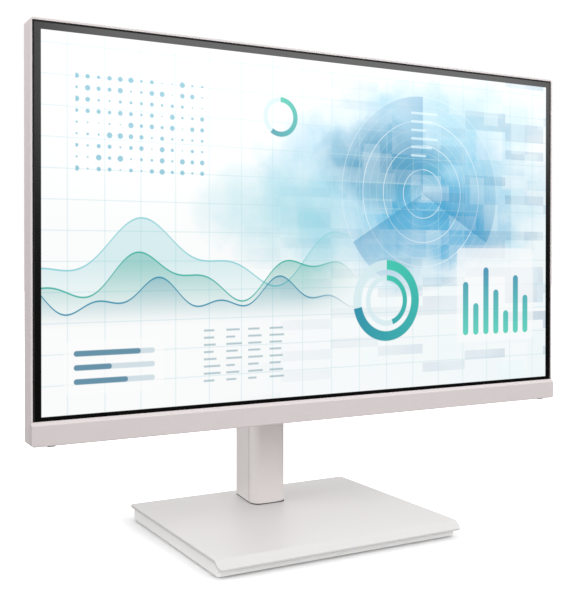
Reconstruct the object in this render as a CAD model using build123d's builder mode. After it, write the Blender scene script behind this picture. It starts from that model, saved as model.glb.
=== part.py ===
"""Computer monitor on a height-adjustable stand: a 23.8 inch flat panel and its column and base.

Frame: millimetres, +X to the viewer's right, +Y to the back, +Z up. The origin is the middle of the
rectangle that the base covers, on the surface it stands on.
"""

import os
from math import radians, tan

from build123d import *

os.makedirs("parts", exist_ok=True)

# ---------------------------------------------------------------------------------------------
# Driving dimensions
# ---------------------------------------------------------------------------------------------
# picture and panel
picture_width = 527.04  # 23.8 inch diagonal, 16:9
picture_height = 296.46
picture_z = 288.0  # height of the picture's centre above the desk
screen_y = -70.0  # front face of the glass
border_side = 6.5  # black border beside and above the picture
border_bottom = 3.0  # black border that shows above the chin
cell_hidden = 4.0  # glass that runs down behind the chin
cell_thickness = 1.6

# backlight
ledge_thickness = 1.4
ledge_overlap = 1.2  # moulded ledge over the rim of the films
film_thickness = 0.3
film_count = 3
guide_thickness = 2.5
guide_margin = 1.3  # light guide beyond the picture
reflector_thickness = 0.3
tray_wall = 0.8
skirt_wall = 1.5
slip = 0.2  # loose clearance between stacked parts
led_board_thickness = 1.0
led_height = 1.2
led_length = 4.0
led_count = 48
led_depth = 2.6

# cabinet
rim_wall = 1.6
glass_gap = 0.3  # shadow gap between glass and cabinet
rim_proud = 0.2
cabinet_depth = 18.0
cabinet_corner = 2.5
flange_thickness = 2.0
flange_width = 12.3
cover_screw_margin = 45.0
chin_height = 19.3
chin_proud = 3.0
chin_depth = 4.0  # chin behind the glass plane
chin_wall = 2.0
chin_rib_wall = 1.6
chin_edge = 1.0
cover_thickness = 2.2
cover_inset = 0.8  # rear cover inside the cabinet's outline
bulge_depth = 25.8  # electronics housing behind the flat rear cover
bulge_half_width = 200.0
bulge_top = 115.0
bulge_bottom = -105.0
bulge_side_slope = 30.0
bulge_top_slope = 25.0
bulge_edge = 3.0
recess_size = 123.0  # square pocket for the stand's plate
recess_depth = 10.0
vent_length = 3.0
vent_height = 26.0
vent_pitch = 8.0
vent_count = 36

# electronics
chassis_thickness = 1.2
chassis_width = 330.0
chassis_height = 190.0
standoff_length = 12.0
standoff_radius = 3.0
board_thickness = 1.6
board_screw_radius = 1.5
main_board_width = 130.0
main_board_height = 100.0
power_board_width = 120.0
power_board_height = 100.0
board_spacing = 20.0
bracket_thickness = 1.0

# wall-mount pattern and quick-release plate
vesa_spacing = 100.0
vesa_post_radius = 5.0
vesa_hole_radius = 2.0
vesa_hole_depth = 12.0
plate_size = 88.0
plate_thickness = 2.5
plate_dish_radius = 30.0
plate_dish_depth = 5.0
plate_corner = 6.0
latch_width = 24.0
latch_height = 11.5
latch_depth = 6.5
tongue_reach = 4.5
tongue_thickness = 2.0

# pivot and tilt head
spindle_radius = 8.0
spindle_head_radius = 14.0
spindle_head_thickness = 2.4
fit = 0.05  # radial clearance of a running fit
pivot_washer_thickness = 0.8
pivot_washer_radius = 22.0
pivot_nut_radius = 12.0
pivot_nut_height = 4.5
head_plate_size = 60.0
head_plate_thickness = 4.0
head_ear_inner = 16.0
head_ear_thickness = 4.0
head_ear_radius = 9.0
tilt_axle_radius = 4.0
tilt_axle_back = 62.0  # tilt axis behind the glass
tilt_washer_thickness = 1.0
tilt_washer_radius = 8.0
yoke_ear_thickness = 4.0
yoke_ear_radius = 10.0
yoke_back = 4.0  # thickness of the yoke's cross plate
yoke_gap = 3.0
tilt_nut_radius = 6.5
tilt_nut_width = 4.0

# column
column_front_y = 37.3
column_seam_y = 49.5
column_back_y = 85.5
column_half_width = 18.6
column_back_half_width = 14.0
column_bow_half = 18.3  # the slightly bowed front, and how far it falls back at its ends
column_bow_depth = 1.6
column_front_corner = 8.0
column_back_corner = 2.0
column_wall = 2.0
column_top_z = 388.0
column_foot_gap = 0.8
seam_gap = 0.4
rail_half_width = 11.5
rail_front_y = 44.0
rail_back_y = 77.0
rail_wall = 2.0
rail_lip = 4.5
rail_top_z = 380.0
pad_thickness = 0.7
pad_clearance = 0.1
stem_half_width = 6.0
stem_half_height = 9.0
slot_clearance = 1.0
carriage_height = 50.0
carriage_depth = 19.7
carriage_lip_gap = 0.3
lift_down = 93.0
lift_up = 57.0
spring_radius = 8.5
spring_pin_radius = 4.0
spring_half_width = 7.0
spring_drop = 34.0  # spring axis below the head's centre
cheek_gap = 0.2
band_thickness = 0.4
band_half_width = 6.0
band_top_z = 372.0

# base
base_width = 253.0
base_depth = 198.5
base_top_z = 15.5
base_bevel_run = 8.5
base_bevel_drop = 6.0
base_cover_thickness = 2.5
base_lip = 1.7
base_front_corner = 4.0
base_back_corner = 3.0
tray_side_inset = 2.6  # underside tray within the cover, at the sides and back, and at the front
tray_front_inset = 7.0
tray_corner = 3.0
foot_height = 1.5
base_tray_wall = 2.0
weight_thickness = 4.5
weight_gap = 1.0
swivel_radius = 8.0
swivel_washer_radius = 12.5
swivel_washer_thickness = 1.0
swivel_nut_radius = 13.0
swivel_nut_height = 3.4
swivel_hole_clearance = 0.4
foot_plate_thickness = 4.0

# cover of the arm
arm_cover_wall = 1.6
arm_cover_gap = 0.3
arm_cover_back_gap = 1.5  # to the column's front
arm_cover_corner = 2.4

# controls on the underside of the cabinet
button_width = 12.0
button_depth = 5.0
button_pitch = 20.0
power_button_margin = 32.0  # from the cabinet's side to the power key
first_button_margin = 122.0
button_y = screen_y + 11.0
button_proud = 0.8
button_clearance = 0.3
button_flange = 1.2
button_flange_thickness = 1.2
button_travel = 0.7
button_board_lift = 6.0

# ---------------------------------------------------------------------------------------------
# Worked-out places (picture-centred heights are relative to picture_z)
# ---------------------------------------------------------------------------------------------
half_picture = picture_width / 2
cell_half_width = half_picture + border_side
cell_top = picture_height / 2 + border_side
chin_top = -picture_height / 2 - border_bottom
cell_bottom = chin_top - cell_hidden
cabinet_half_width = cell_half_width + glass_gap + rim_wall
cabinet_top = cell_top + glass_gap + rim_wall
cabinet_bottom = chin_top - chin_height
opening_half_width = cell_half_width + glass_gap
opening_top = cell_top + glass_gap
opening_bottom = cell_bottom - glass_gap

ledge_y = screen_y + cell_thickness
film_y = ledge_y + ledge_thickness
guide_y = film_y + film_count * film_thickness
reflector_y = guide_y + guide_thickness
tray_y = reflector_y + reflector_thickness
tray_back_y = tray_y + tray_wall
guide_half_width = half_picture + guide_margin
guide_top = picture_height / 2 + guide_margin
guide_bottom = -guide_top
led_top = guide_bottom - slip
led_board_top = led_top - led_height
led_board_bottom = led_board_top - led_board_thickness
skirt_half_width = guide_half_width + slip + skirt_wall
skirt_top = guide_top + slip + skirt_wall
skirt_bottom = led_board_bottom - skirt_wall
tray_half_width = skirt_half_width + slip + tray_wall
tray_top = skirt_top + slip + tray_wall
tray_bottom = skirt_bottom - slip - tray_wall

flange_y = tray_back_y + flange_thickness
cabinet_back_y = screen_y + cabinet_depth
cover_back_y = cabinet_back_y + cover_thickness
bulge_back_y = cover_back_y + bulge_depth
recess_y = bulge_back_y - recess_depth
chassis_back_y = tray_back_y + chassis_thickness
board_y = chassis_back_y + standoff_length
board_back_y = board_y + board_thickness
port_z = bulge_bottom  # local height of the downward-facing port wall

plate_back_y = recess_y + plate_thickness
dish_y = recess_y + plate_dish_depth
dish_back_y = dish_y + plate_thickness
head_front_y = dish_back_y + pivot_washer_thickness
head_back_y = head_front_y + head_plate_thickness
tilt_y = screen_y + tilt_axle_back
yoke_front_y = tilt_y + head_ear_radius + yoke_gap
yoke_back_y = yoke_front_y + yoke_back
head_ear_outer = head_ear_inner + head_ear_thickness
yoke_ear_inner = head_ear_outer + 2 * tilt_washer_thickness
yoke_ear_outer = yoke_ear_inner + yoke_ear_thickness

swivel_y = (column_front_y + column_back_y) / 2
foot_bottom_z = base_top_z + swivel_washer_thickness
foot_top_z = foot_bottom_z + foot_plate_thickness
column_bottom_z = base_top_z + column_foot_gap
rail_inner = rail_half_width - rail_wall
carriage_front_y = rail_front_y + rail_wall + carriage_lip_gap
carriage_back_y = carriage_front_y + carriage_depth
carriage_half_width = rail_inner - pad_thickness - pad_clearance
spring_z = picture_z - spring_drop
spring_y = (carriage_front_y + carriage_back_y) / 2 + 4.0

base_half_width = base_width / 2
base_half_depth = base_depth / 2
base_under_z = base_top_z - base_cover_thickness
weight_z = base_under_z - weight_thickness
swivel_bottom_z = weight_z - pivot_washer_thickness - swivel_nut_height


# ---------------------------------------------------------------------------------------------
# Planes and small repeated shapes
# ---------------------------------------------------------------------------------------------
def front_plane(y):
    """Plane across the screen at y, seen from the front: local x is X, local y is Z from the
    picture's centre, and an extrusion goes towards the viewer."""
    return Plane(origin=(0, y, picture_z), x_dir=(1, 0, 0), z_dir=(0, -1, 0))


def rear_plane(y):
    """The same plane seen from behind: local x is -X, and an extrusion goes to the back."""
    return Plane(origin=(0, y, picture_z), x_dir=(-1, 0, 0), z_dir=(0, 1, 0))


def block(x, y, z, mode=Mode.ADD, datum=0.0):
    """Add or cut a block between the limits on each axis; datum is added to the heights."""
    with Locations(((x[0] + x[1]) / 2, (y[0] + y[1]) / 2, (z[0] + z[1]) / 2 + datum)):
        Box(x[1] - x[0], y[1] - y[0], z[1] - z[0], mode=mode)


def rod_y(x, z, y, radius, mode=Mode.ADD, datum=0.0):
    """Add or cut a round bar along Y between the limits y."""
    with Locations(Plane(origin=(x, y[0], z + datum), x_dir=(1, 0, 0), z_dir=(0, 1, 0))):
        Cylinder(radius, y[1] - y[0], align=(Align.CENTER, Align.CENTER, Align.MIN), mode=mode)


def rod_x(y, z, x, radius, mode=Mode.ADD, datum=0.0):
    """Add or cut a round bar along X between the limits x."""
    with Locations(Plane(origin=(x[0], y, z + datum), x_dir=(0, 1, 0), z_dir=(1, 0, 0))):
        Cylinder(radius, x[1] - x[0], align=(Align.CENTER, Align.CENTER, Align.MIN), mode=mode)


def rod_z(x, y, z, radius, mode=Mode.ADD):
    """Add or cut a round bar along Z between the limits z."""
    with Locations((x, y, z[0])):
        Cylinder(radius, z[1] - z[0], align=(Align.CENTER, Align.CENTER, Align.MIN), mode=mode)


def pan_screw(shank_radius, length, head_radius, head_height):
    """A cross-head screw: its head sits on the local XY plane and its shank points down."""
    with BuildPart(mode=Mode.PRIVATE) as screw:
        Cylinder(head_radius, head_height, align=(Align.CENTER, Align.CENTER, Align.MIN))
        fillet(screw.edges().group_by(Axis.Z)[-1], head_height * 0.35)
        Cylinder(shank_radius, length, align=(Align.CENTER, Align.CENTER, Align.MAX))
        with Locations((0, 0, head_height)):
            Box(head_radius, head_height * 0.3, head_height * 0.9, mode=Mode.SUBTRACT)
            Box(head_height * 0.3, head_radius, head_height * 0.9, mode=Mode.SUBTRACT)
    return screw.part


def finish(piece, label):
    """Name a finished piece and write its STEP file."""
    piece.part.label = label
    export_step(piece.part, f"parts/{label}.step")


# ---------------------------------------------------------------------------------------------
# Panel: glass, films, light guide and its tray
# ---------------------------------------------------------------------------------------------
with BuildPart() as lcd_cell:
    block(
        (-cell_half_width, cell_half_width),
        (screen_y, ledge_y),
        (cell_bottom, cell_top),
        datum=picture_z,
    )
finish(lcd_cell, "lcd_cell")

with BuildPart() as panel_midframe:
    block(
        (-skirt_half_width, skirt_half_width),
        (ledge_y, tray_y),
        (skirt_bottom, skirt_top),
        datum=picture_z,
    )
    block(
        (-guide_half_width - slip, guide_half_width + slip),
        (film_y, tray_y),
        (led_board_bottom, guide_top + slip),
        Mode.SUBTRACT,
        picture_z,
    )
    block(
        (-guide_half_width + ledge_overlap, guide_half_width - ledge_overlap),
        (ledge_y, film_y),
        (guide_bottom + ledge_overlap, guide_top - ledge_overlap),
        Mode.SUBTRACT,
        picture_z,
    )
finish(panel_midframe, "panel_midframe")

with BuildPart() as optical_films:
    for layer in range(film_count):
        front = film_y + layer * film_thickness
        tab = 2.0 * layer  # each film is trimmed a little shorter than the one in front of it
        block(
            (-guide_half_width, guide_half_width),
            (front, front + film_thickness * 0.98),
            (guide_bottom + tab / 10, guide_top - tab / 10),
            datum=picture_z,
        )
finish(optical_films, "optical_films")

with BuildPart() as light_guide_plate:
    block(
        (-guide_half_width, guide_half_width),
        (guide_y, reflector_y),
        (guide_bottom, guide_top),
        datum=picture_z,
    )
finish(light_guide_plate, "light_guide_plate")

with BuildPart() as reflector_sheet:
    block(
        (-guide_half_width, guide_half_width),
        (reflector_y, tray_y),
        (guide_bottom, guide_top),
        datum=picture_z,
    )
finish(reflector_sheet, "reflector_sheet")

with BuildPart() as led_bar:
    block(
        (-guide_half_width + led_length, guide_half_width - led_length),
        (film_y + slip, tray_y),
        (led_board_bottom, led_board_top),
        datum=picture_z,
    )
finish(led_bar, "led_bar")

led_pitch = (2 * guide_half_width - 4 * led_length) / led_count
with BuildPart() as led_packages:
    with GridLocations(led_pitch, 1, led_count, 1) as led_row:
        led_places = [place.position.X for place in led_row.locations]
    for led_x in led_places:
        block(
            (led_x - led_length / 2, led_x + led_length / 2),
            (guide_y, guide_y + led_depth),
            (led_board_top, led_top),
            datum=picture_z,
        )
finish(led_packages, "led_packages")

with BuildPart() as backlight_tray:
    block(
        (-tray_half_width, tray_half_width),
        (film_y, tray_back_y),
        (tray_bottom, tray_top),
        datum=picture_z,
    )
    block(
        (-tray_half_width + tray_wall, tray_half_width - tray_wall),
        (film_y, tray_y),
        (tray_bottom + tray_wall, tray_top - tray_wall),
        Mode.SUBTRACT,
        picture_z,
    )
finish(backlight_tray, "backlight_tray")

# ---------------------------------------------------------------------------------------------
# Cabinet: side frame, chin and rear cover
# ---------------------------------------------------------------------------------------------
cover_screw_x = cabinet_half_width - rim_wall - flange_width / 2
cover_screw_top = opening_top - flange_width / 2
cover_screw_z = opening_top - cover_screw_margin
cover_screw_places = [
    (side * cover_screw_x, level * cover_screw_z) for side in (-1, 1) for level in (-1, 1)
] + [(side * cover_screw_x / 2, cover_screw_top) for side in (-1, 1)]
boss_radius = 4.0
cover_screw_radius = 1.5
cover_head_radius = 2.8
cover_head_height = 1.2
counterbore_depth = 0.8
first_button_x = cabinet_half_width - first_button_margin
power_button_x = cabinet_half_width - power_button_margin
button_places = [first_button_x + button_pitch * index for index in range(4)] + [power_button_x]
wall_top = cabinet_bottom + rim_wall  # inner face of the cabinet's bottom wall
button_board_bottom = wall_top + button_board_lift
post_x = (first_button_x - button_pitch / 2 - 3.0, power_button_x - 1.5 * button_width)
led_lens_x = power_button_x + 18.0
led_lens_radius = 1.2
lock_slot_x = -120.0

with BuildPart() as cabinet_frame:
    with BuildSketch(front_plane(cabinet_back_y)):
        with Locations((0, (cabinet_top + cabinet_bottom) / 2)):
            RectangleRounded(2 * cabinet_half_width, cabinet_top - cabinet_bottom, cabinet_corner)
    extrude(amount=cabinet_depth + rim_proud)
    # well for the glass and backlight, in front of the flange
    block(
        (-opening_half_width, opening_half_width),
        (screen_y - rim_proud, tray_back_y),
        (opening_bottom, opening_top),
        Mode.SUBTRACT,
        picture_z,
    )
    # clear middle of the flange
    block(
        (-opening_half_width + flange_width, opening_half_width - flange_width),
        (tray_back_y, flange_y),
        (opening_bottom + flange_width, opening_top - flange_width),
        Mode.SUBTRACT,
        picture_z,
    )
    # room behind the flange, and the duct for the controls below the panel
    block(
        (-opening_half_width, opening_half_width),
        (flange_y, cabinet_back_y),
        (wall_top, opening_top),
        Mode.SUBTRACT,
        picture_z,
    )
    block(
        (-opening_half_width, opening_half_width),
        (screen_y + chin_depth, flange_y),
        (wall_top, opening_bottom - rim_wall),
        Mode.SUBTRACT,
        picture_z,
    )
    # seat for the chin
    block(
        (-cabinet_half_width, cabinet_half_width),
        (screen_y - rim_proud, screen_y + chin_depth),
        (cabinet_bottom, opening_bottom),
        Mode.SUBTRACT,
        picture_z,
    )
    block(
        (-cabinet_half_width, cabinet_half_width),
        (screen_y - rim_proud, screen_y),
        (opening_bottom, chin_top),
        Mode.SUBTRACT,
        picture_z,
    )
    for boss_x, boss_z in cover_screw_places:
        rod_y(boss_x, boss_z, (flange_y, cabinet_back_y), boss_radius, datum=picture_z)
        rod_y(
            boss_x,
            boss_z,
            (flange_y, cabinet_back_y),
            cover_screw_radius + fit,
            Mode.SUBTRACT,
            picture_z,
        )
    for place in button_places:
        block(
            (
                place - button_width / 2 - button_clearance,
                place + button_width / 2 + button_clearance,
            ),
            (
                button_y - button_depth / 2 - button_clearance,
                button_y + button_depth / 2 + button_clearance,
            ),
            (cabinet_bottom, wall_top),
            Mode.SUBTRACT,
            picture_z,
        )
    rod_z(
        led_lens_x,
        button_y,
        (picture_z + cabinet_bottom, picture_z + wall_top),
        led_lens_radius + button_clearance,
        Mode.SUBTRACT,
    )
    for place in post_x:
        rod_z(place, button_y, (picture_z + wall_top, picture_z + button_board_bottom), 2.0)
finish(cabinet_frame, "cabinet_frame")

chin_land = chin_top - chin_proud * 0.95  # lower edge of the chin's sloped top
with BuildPart() as lower_bezel:
    # profile with a sloped top that runs down from the glass to the front face
    with BuildSketch(Plane.YZ.offset(-cabinet_half_width)) as chin_profile:
        with BuildLine():
            Polyline(
                (screen_y + chin_depth, picture_z + cabinet_bottom),
                (screen_y + chin_depth, picture_z + chin_top),
                (screen_y, picture_z + chin_top),
                (screen_y - chin_proud, picture_z + chin_land),
                (screen_y - chin_proud, picture_z + cabinet_bottom),
                close=True,
            )
        make_face()
        fillet(chin_profile.vertices().group_by(Axis.X)[0], chin_edge)
    extrude(amount=2 * cabinet_half_width)
    with BuildSketch(front_plane(screen_y + chin_depth)) as chin_outline:
        with Locations((0, (chin_top + cabinet_bottom) / 2)):
            Rectangle(2 * cabinet_half_width, chin_height)
        fillet(chin_outline.vertices().group_by(Axis.Y)[0], cabinet_corner)
    extrude(amount=chin_depth + chin_proud, mode=Mode.INTERSECT)
    # the glass runs down behind this rebate
    block(
        (-cabinet_half_width, cabinet_half_width),
        (screen_y - glass_gap, screen_y + chin_depth),
        (opening_bottom, chin_top),
        Mode.SUBTRACT,
        picture_z,
    )
    block(
        (-cabinet_half_width + chin_wall, cabinet_half_width - chin_wall),
        (screen_y - chin_proud + chin_wall, screen_y + chin_depth),
        (cabinet_bottom + chin_wall, opening_bottom - chin_rib_wall),
        Mode.SUBTRACT,
        picture_z,
    )
finish(lower_bezel, "lower_bezel")

pad_x = cabinet_half_width - 16.0
pad_half = 3.0
with BuildPart() as landing_pads:
    for side in (-1, 1):
        block(
            (side * pad_x - pad_half, side * pad_x + pad_half),
            (screen_y - chin_proud + 2 * chin_edge, screen_y + chin_depth - chin_edge),
            (cabinet_bottom - button_proud, cabinet_bottom),
            datum=picture_z,
        )
finish(landing_pads, "landing_pads")

# ports in the flat underside of the electronics housing: x centre, width, depth in y
inlet_x, inlet_width, inlet_depth, inlet_length = -110.0, 27.0, 19.5, 26.0
port_lift = 1.0  # a port's shell above its board
video_ports_sizes = [(30.0, 15.0, 5.5, 12.0), (55.0, 18.0, 6.0, 14.0), (92.0, 31.0, 11.0, 12.0)]
usb_ports_sizes = [(128.0, 12.5, 11.0, 14.0), (-20.0, 14.0, 6.5, 14.0), (0.0, 14.0, 6.5, 14.0)]
port_shells = video_ports_sizes + usb_ports_sizes


def outward(offset, y, slope):
    """How far a sloping wall of the housing has come in at y, for a face that starts at offset."""
    return offset - (y - cover_back_y) * tan(radians(slope))


def housing_sketch_limits(y, inset):
    """Limits of the housing at y: half width, bottom and top, drawn in by inset."""
    half = outward(bulge_half_width, y, bulge_side_slope) - inset
    top = outward(bulge_top, y, bulge_top_slope) - inset
    return half, bulge_bottom + inset, top


with BuildPart() as rear_cover:
    with BuildSketch(rear_plane(cabinet_back_y)):
        with Locations((0, (cabinet_top + cabinet_bottom) / 2)):
            RectangleRounded(
                2 * (cabinet_half_width - cover_inset),
                cabinet_top - cabinet_bottom - 2 * cover_inset,
                cabinet_corner,
            )
    extrude(amount=cover_thickness)
    for level in (cover_back_y - cover_thickness / 2, bulge_back_y):
        half, bottom, top = housing_sketch_limits(level, 0.0)
        with BuildSketch(rear_plane(level)):
            with Locations((0, (bottom + top) / 2)):
                RectangleRounded(2 * half, top - bottom, 8.0)
    loft()
    rear_edges = rear_cover.faces().sort_by(Axis.Y)[-1].edges()
    fillet(rear_edges, bulge_edge)
    # hollow of the housing
    for level in (cabinet_back_y, bulge_back_y - cover_thickness):
        half, bottom, top = housing_sketch_limits(level, cover_thickness)
        with BuildSketch(rear_plane(level)):
            with Locations((0, (bottom + top) / 2)):
                RectangleRounded(2 * half, top - bottom, 6.0)
    loft(mode=Mode.SUBTRACT)
    # pocket for the stand's plate: a floor and four walls, then its open mouth
    pocket_half = recess_size / 2
    block(
        (-pocket_half - cover_thickness, pocket_half + cover_thickness),
        (recess_y - cover_thickness, bulge_back_y - cover_thickness),
        (-pocket_half - cover_thickness, pocket_half + cover_thickness),
        datum=picture_z,
    )
    block(
        (-pocket_half, pocket_half),
        (recess_y, bulge_back_y),
        (-pocket_half, pocket_half),
        Mode.SUBTRACT,
        picture_z,
    )
    for post_side in (-1, 1):
        for post_level in (-1, 1):
            rod_y(
                post_side * vesa_spacing / 2,
                post_level * vesa_spacing / 2,
                (recess_y - cover_thickness, recess_y),
                vesa_post_radius + slip,
                Mode.SUBTRACT,
                picture_z,
            )
    # openings of the ports
    for port_x, port_width, port_depth, _ in port_shells:
        block(
            (port_x - port_width / 2 - slip, port_x + port_width / 2 + slip),
            (board_back_y + port_lift - slip, board_back_y + port_lift + port_depth + slip),
            (port_z - 1, port_z + 2 * cover_thickness),
            Mode.SUBTRACT,
            picture_z,
        )
    block(
        (inlet_x - inlet_width / 2 - slip, inlet_x + inlet_width / 2 + slip),
        (board_back_y - slip, board_back_y + inlet_depth + slip),
        (port_z - 1, port_z + 2 * cover_thickness),
        Mode.SUBTRACT,
        picture_z,
    )
    # vents along the sloping top of the housing
    vent_y = cover_back_y + bulge_depth / 2
    with Locations(Plane(origin=(0, vent_y, picture_z + bulge_top - 5), z_dir=(0, 0, 1))):
        with GridLocations(vent_pitch, 1, vent_count, 1):
            Box(vent_length, 14.0, vent_height, mode=Mode.SUBTRACT)
    # slot for a security lock
    block(
        (lock_slot_x - 3.5, lock_slot_x + 3.5),
        (bulge_back_y - cover_thickness - 1, bulge_back_y + 1),
        (bulge_bottom + 18.5, bulge_bottom + 21.5),
        Mode.SUBTRACT,
        picture_z,
    )
    for hole_x, hole_z in cover_screw_places:
        rod_y(
            hole_x,
            hole_z,
            (cabinet_back_y, cover_back_y),
            cover_screw_radius + slip,
            Mode.SUBTRACT,
            picture_z,
        )
        rod_y(
            hole_x,
            hole_z,
            (cover_back_y - counterbore_depth, cover_back_y),
            cover_head_radius + slip,
            Mode.SUBTRACT,
            picture_z,
        )
finish(rear_cover, "rear_cover")

cover_screw_length = 9.0
with BuildPart() as rear_cover_screws:
    cover_screw = pan_screw(cover_screw_radius, cover_screw_length, cover_head_radius, cover_head_height)
    head_seat_y = cover_back_y - counterbore_depth
    for hole_x, hole_z in cover_screw_places:
        seat = Plane(origin=(hole_x, head_seat_y, picture_z + hole_z), z_dir=(0, 1, 0))
        with Locations(seat):
            add(cover_screw)
finish(rear_cover_screws, "rear_cover_screws")

# ---------------------------------------------------------------------------------------------
# Chassis, boards and ports
# ---------------------------------------------------------------------------------------------
# the boards stand with their lower edges just inside the port wall
board_bottom = port_z + cover_thickness + bracket_thickness + 0.6
main_x = board_spacing / 2 + main_board_width / 2
power_x = -board_spacing / 2 - power_board_width / 2 - 20.0
source_board_height = 16.0
source_board_width = 240.0
screw_inset = 6.0


def corner_places(centre_x, width, height):
    """The four screw places of a board that stands on board_bottom."""
    return [
        (centre_x + side * (width / 2 - screw_inset), board_bottom + level)
        for side in (-1, 1)
        for level in (screw_inset + 14.0, height - screw_inset)
    ]


board_places = corner_places(main_x, main_board_width, main_board_height) + corner_places(
    power_x, power_board_width, power_board_height
)
vesa_places = [
    (side * vesa_spacing / 2, level * vesa_spacing / 2) for side in (-1, 1) for level in (-1, 1)
]

with BuildPart() as chassis_plate:
    block(
        (-chassis_width / 2, chassis_width / 2),
        (tray_back_y, chassis_back_y),
        (-chassis_height / 2, chassis_height / 2),
        datum=picture_z,
    )
    for place_x, place_z in board_places:
        rod_y(place_x, place_z, (chassis_back_y, board_y), standoff_radius, datum=picture_z)
    for place_x, place_z in board_places:
        rod_y(
            place_x,
            place_z,
            (chassis_back_y, board_y),
            board_screw_radius + fit,
            Mode.SUBTRACT,
            picture_z,
        )
finish(chassis_plate, "chassis_plate")

with BuildPart() as vesa_posts:
    for place_x, place_z in vesa_places:
        rod_y(place_x, place_z, (chassis_back_y, recess_y), vesa_post_radius, datum=picture_z)
    for place_x, place_z in vesa_places:
        rod_y(
            place_x,
            place_z,
            (recess_y - vesa_hole_depth, recess_y),
            vesa_hole_radius,
            Mode.SUBTRACT,
            picture_z,
        )
finish(vesa_posts, "vesa_posts")


def board(centre_x, width, height, places):
    """A circuit board with its screw holes, and clear of the wall-mount posts."""
    block(
        (centre_x - width / 2, centre_x + width / 2),
        (board_y, board_back_y),
        (board_bottom, board_bottom + height),
        datum=picture_z,
    )
    for place_x, place_z in places:
        rod_y(
            place_x,
            place_z,
            (board_y, board_back_y),
            board_screw_radius + slip,
            Mode.SUBTRACT,
            picture_z,
        )
    for place_x, place_z in vesa_places:
        rod_y(
            place_x,
            place_z,
            (board_y, board_back_y),
            vesa_post_radius + 1.0,
            Mode.SUBTRACT,
            picture_z,
        )


with BuildPart() as main_board:
    board(main_x, main_board_width, main_board_height, board_places[:4])
finish(main_board, "main_board")

with BuildPart() as power_board:
    board(power_x, power_board_width, power_board_height, board_places[4:])
finish(power_board, "power_board")

with BuildPart() as board_screws:
    board_screw = pan_screw(board_screw_radius, 8.0, 2.8, 2.0)
    for place_x, place_z in board_places:
        seat = Plane(origin=(place_x, board_back_y, picture_z + place_z), z_dir=(0, 1, 0))
        with Locations(seat):
            add(board_screw)
finish(board_screws, "board_screws")

# chips on the main board: x, height, width, tall, thick
chips = [
    (main_x - 4.0, board_bottom + 40.0, 22.0, 22.0, 2.0),
    (main_x + 34.0, board_bottom + 62.0, 12.0, 9.0, 1.4),
    (main_x - 38.0, board_bottom + 68.0, 9.0, 9.0, 1.4),
    (main_x + 38.0, board_bottom + 36.0, 14.0, 7.0, 1.6),
]
with BuildPart() as main_board_parts:
    for chip_x, chip_z, chip_width, chip_height, chip_thickness in chips:
        block(
            (chip_x - chip_width / 2, chip_x + chip_width / 2),
            (board_back_y, board_back_y + chip_thickness),
            (chip_z - chip_height / 2, chip_z + chip_height / 2),
            datum=picture_z,
        )
finish(main_board_parts, "main_board_parts")

capacitor_radius = 8.0
with BuildPart() as power_board_parts:
    rod_y(
        power_x - 30.0,
        board_bottom + 62.0,
        (board_back_y, board_back_y + 12.0),
        capacitor_radius,
        datum=picture_z,
    )
    rod_y(
        power_x - 8.0,
        board_bottom + 62.0,
        (board_back_y, board_back_y + 12.0),
        capacitor_radius,
        datum=picture_z,
    )
    block(
        (power_x - 44.0, power_x - 20.0),
        (board_back_y, board_back_y + 11.5),
        (board_bottom + 28.0, board_bottom + 50.0),
        datum=picture_z,
    )
    block(
        (power_x + 20.0, power_x + 23.0),
        (board_back_y, board_back_y + 11.5),
        (board_bottom + 34.0, board_bottom + 66.0),
        datum=picture_z,
    )
finish(power_board_parts, "power_board_parts")

with BuildPart() as source_board:
    block(
        (-source_board_width / 2, source_board_width / 2),
        (chassis_back_y, chassis_back_y + board_thickness),
        (-chassis_height / 2, -chassis_height / 2 + source_board_height),
        datum=picture_z,
    )
    for place_x, place_z in board_places:
        rod_y(
            place_x,
            place_z,
            (chassis_back_y, chassis_back_y + board_thickness),
            standoff_radius + slip,
            Mode.SUBTRACT,
            picture_z,
        )
finish(source_board, "source_board")

bracket_z = port_z + cover_thickness
with BuildPart() as port_bracket:
    block(
        (main_x - main_board_width / 2, main_x + main_board_width / 2),
        (board_y, board_back_y + 15.0),
        (bracket_z, bracket_z + bracket_thickness),
        datum=picture_z,
    )
    for port_x, port_width, port_depth, _ in port_shells:
        block(
            (port_x - port_width / 2 - slip, port_x + port_width / 2 + slip),
            (board_back_y + port_lift - slip, board_back_y + port_lift + port_depth + slip),
            (bracket_z, bracket_z + bracket_thickness),
            Mode.SUBTRACT,
            picture_z,
        )
finish(port_bracket, "port_bracket")


def port_shell(centre, width, depth, length, wall, tongue):
    """A socket that opens downwards: a shell with a tongue, on two legs down to its board."""
    low = board_back_y + port_lift
    block(
        (centre - width / 2, centre + width / 2),
        (low, low + depth),
        (port_z + 0.4, port_z + 0.4 + length),
        datum=picture_z,
    )
    block(
        (centre - width / 2 + wall, centre + width / 2 - wall),
        (low + wall, low + depth - wall),
        (port_z + 0.4, port_z + 0.4 + length - 2 * wall),
        Mode.SUBTRACT,
        picture_z,
    )
    block(
        (centre - width * 0.32, centre + width * 0.32),
        (low + depth / 2 - tongue / 2, low + depth / 2 + tongue / 2),
        (port_z + 2.0, port_z + 0.4 + length),
        datum=picture_z,
    )
    block(
        (centre - width / 4, centre + width / 4),
        (board_back_y, low),
        (board_bottom + 1.0, port_z + 0.4 + length),
        datum=picture_z,
    )


with BuildPart() as video_ports:
    for port in video_ports_sizes:
        port_shell(*port, wall=0.8, tongue=1.2)
finish(video_ports, "video_ports")

with BuildPart() as usb_ports:
    for port in usb_ports_sizes:
        port_shell(*port, wall=0.8, tongue=1.8)
finish(usb_ports, "usb_ports")

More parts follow.
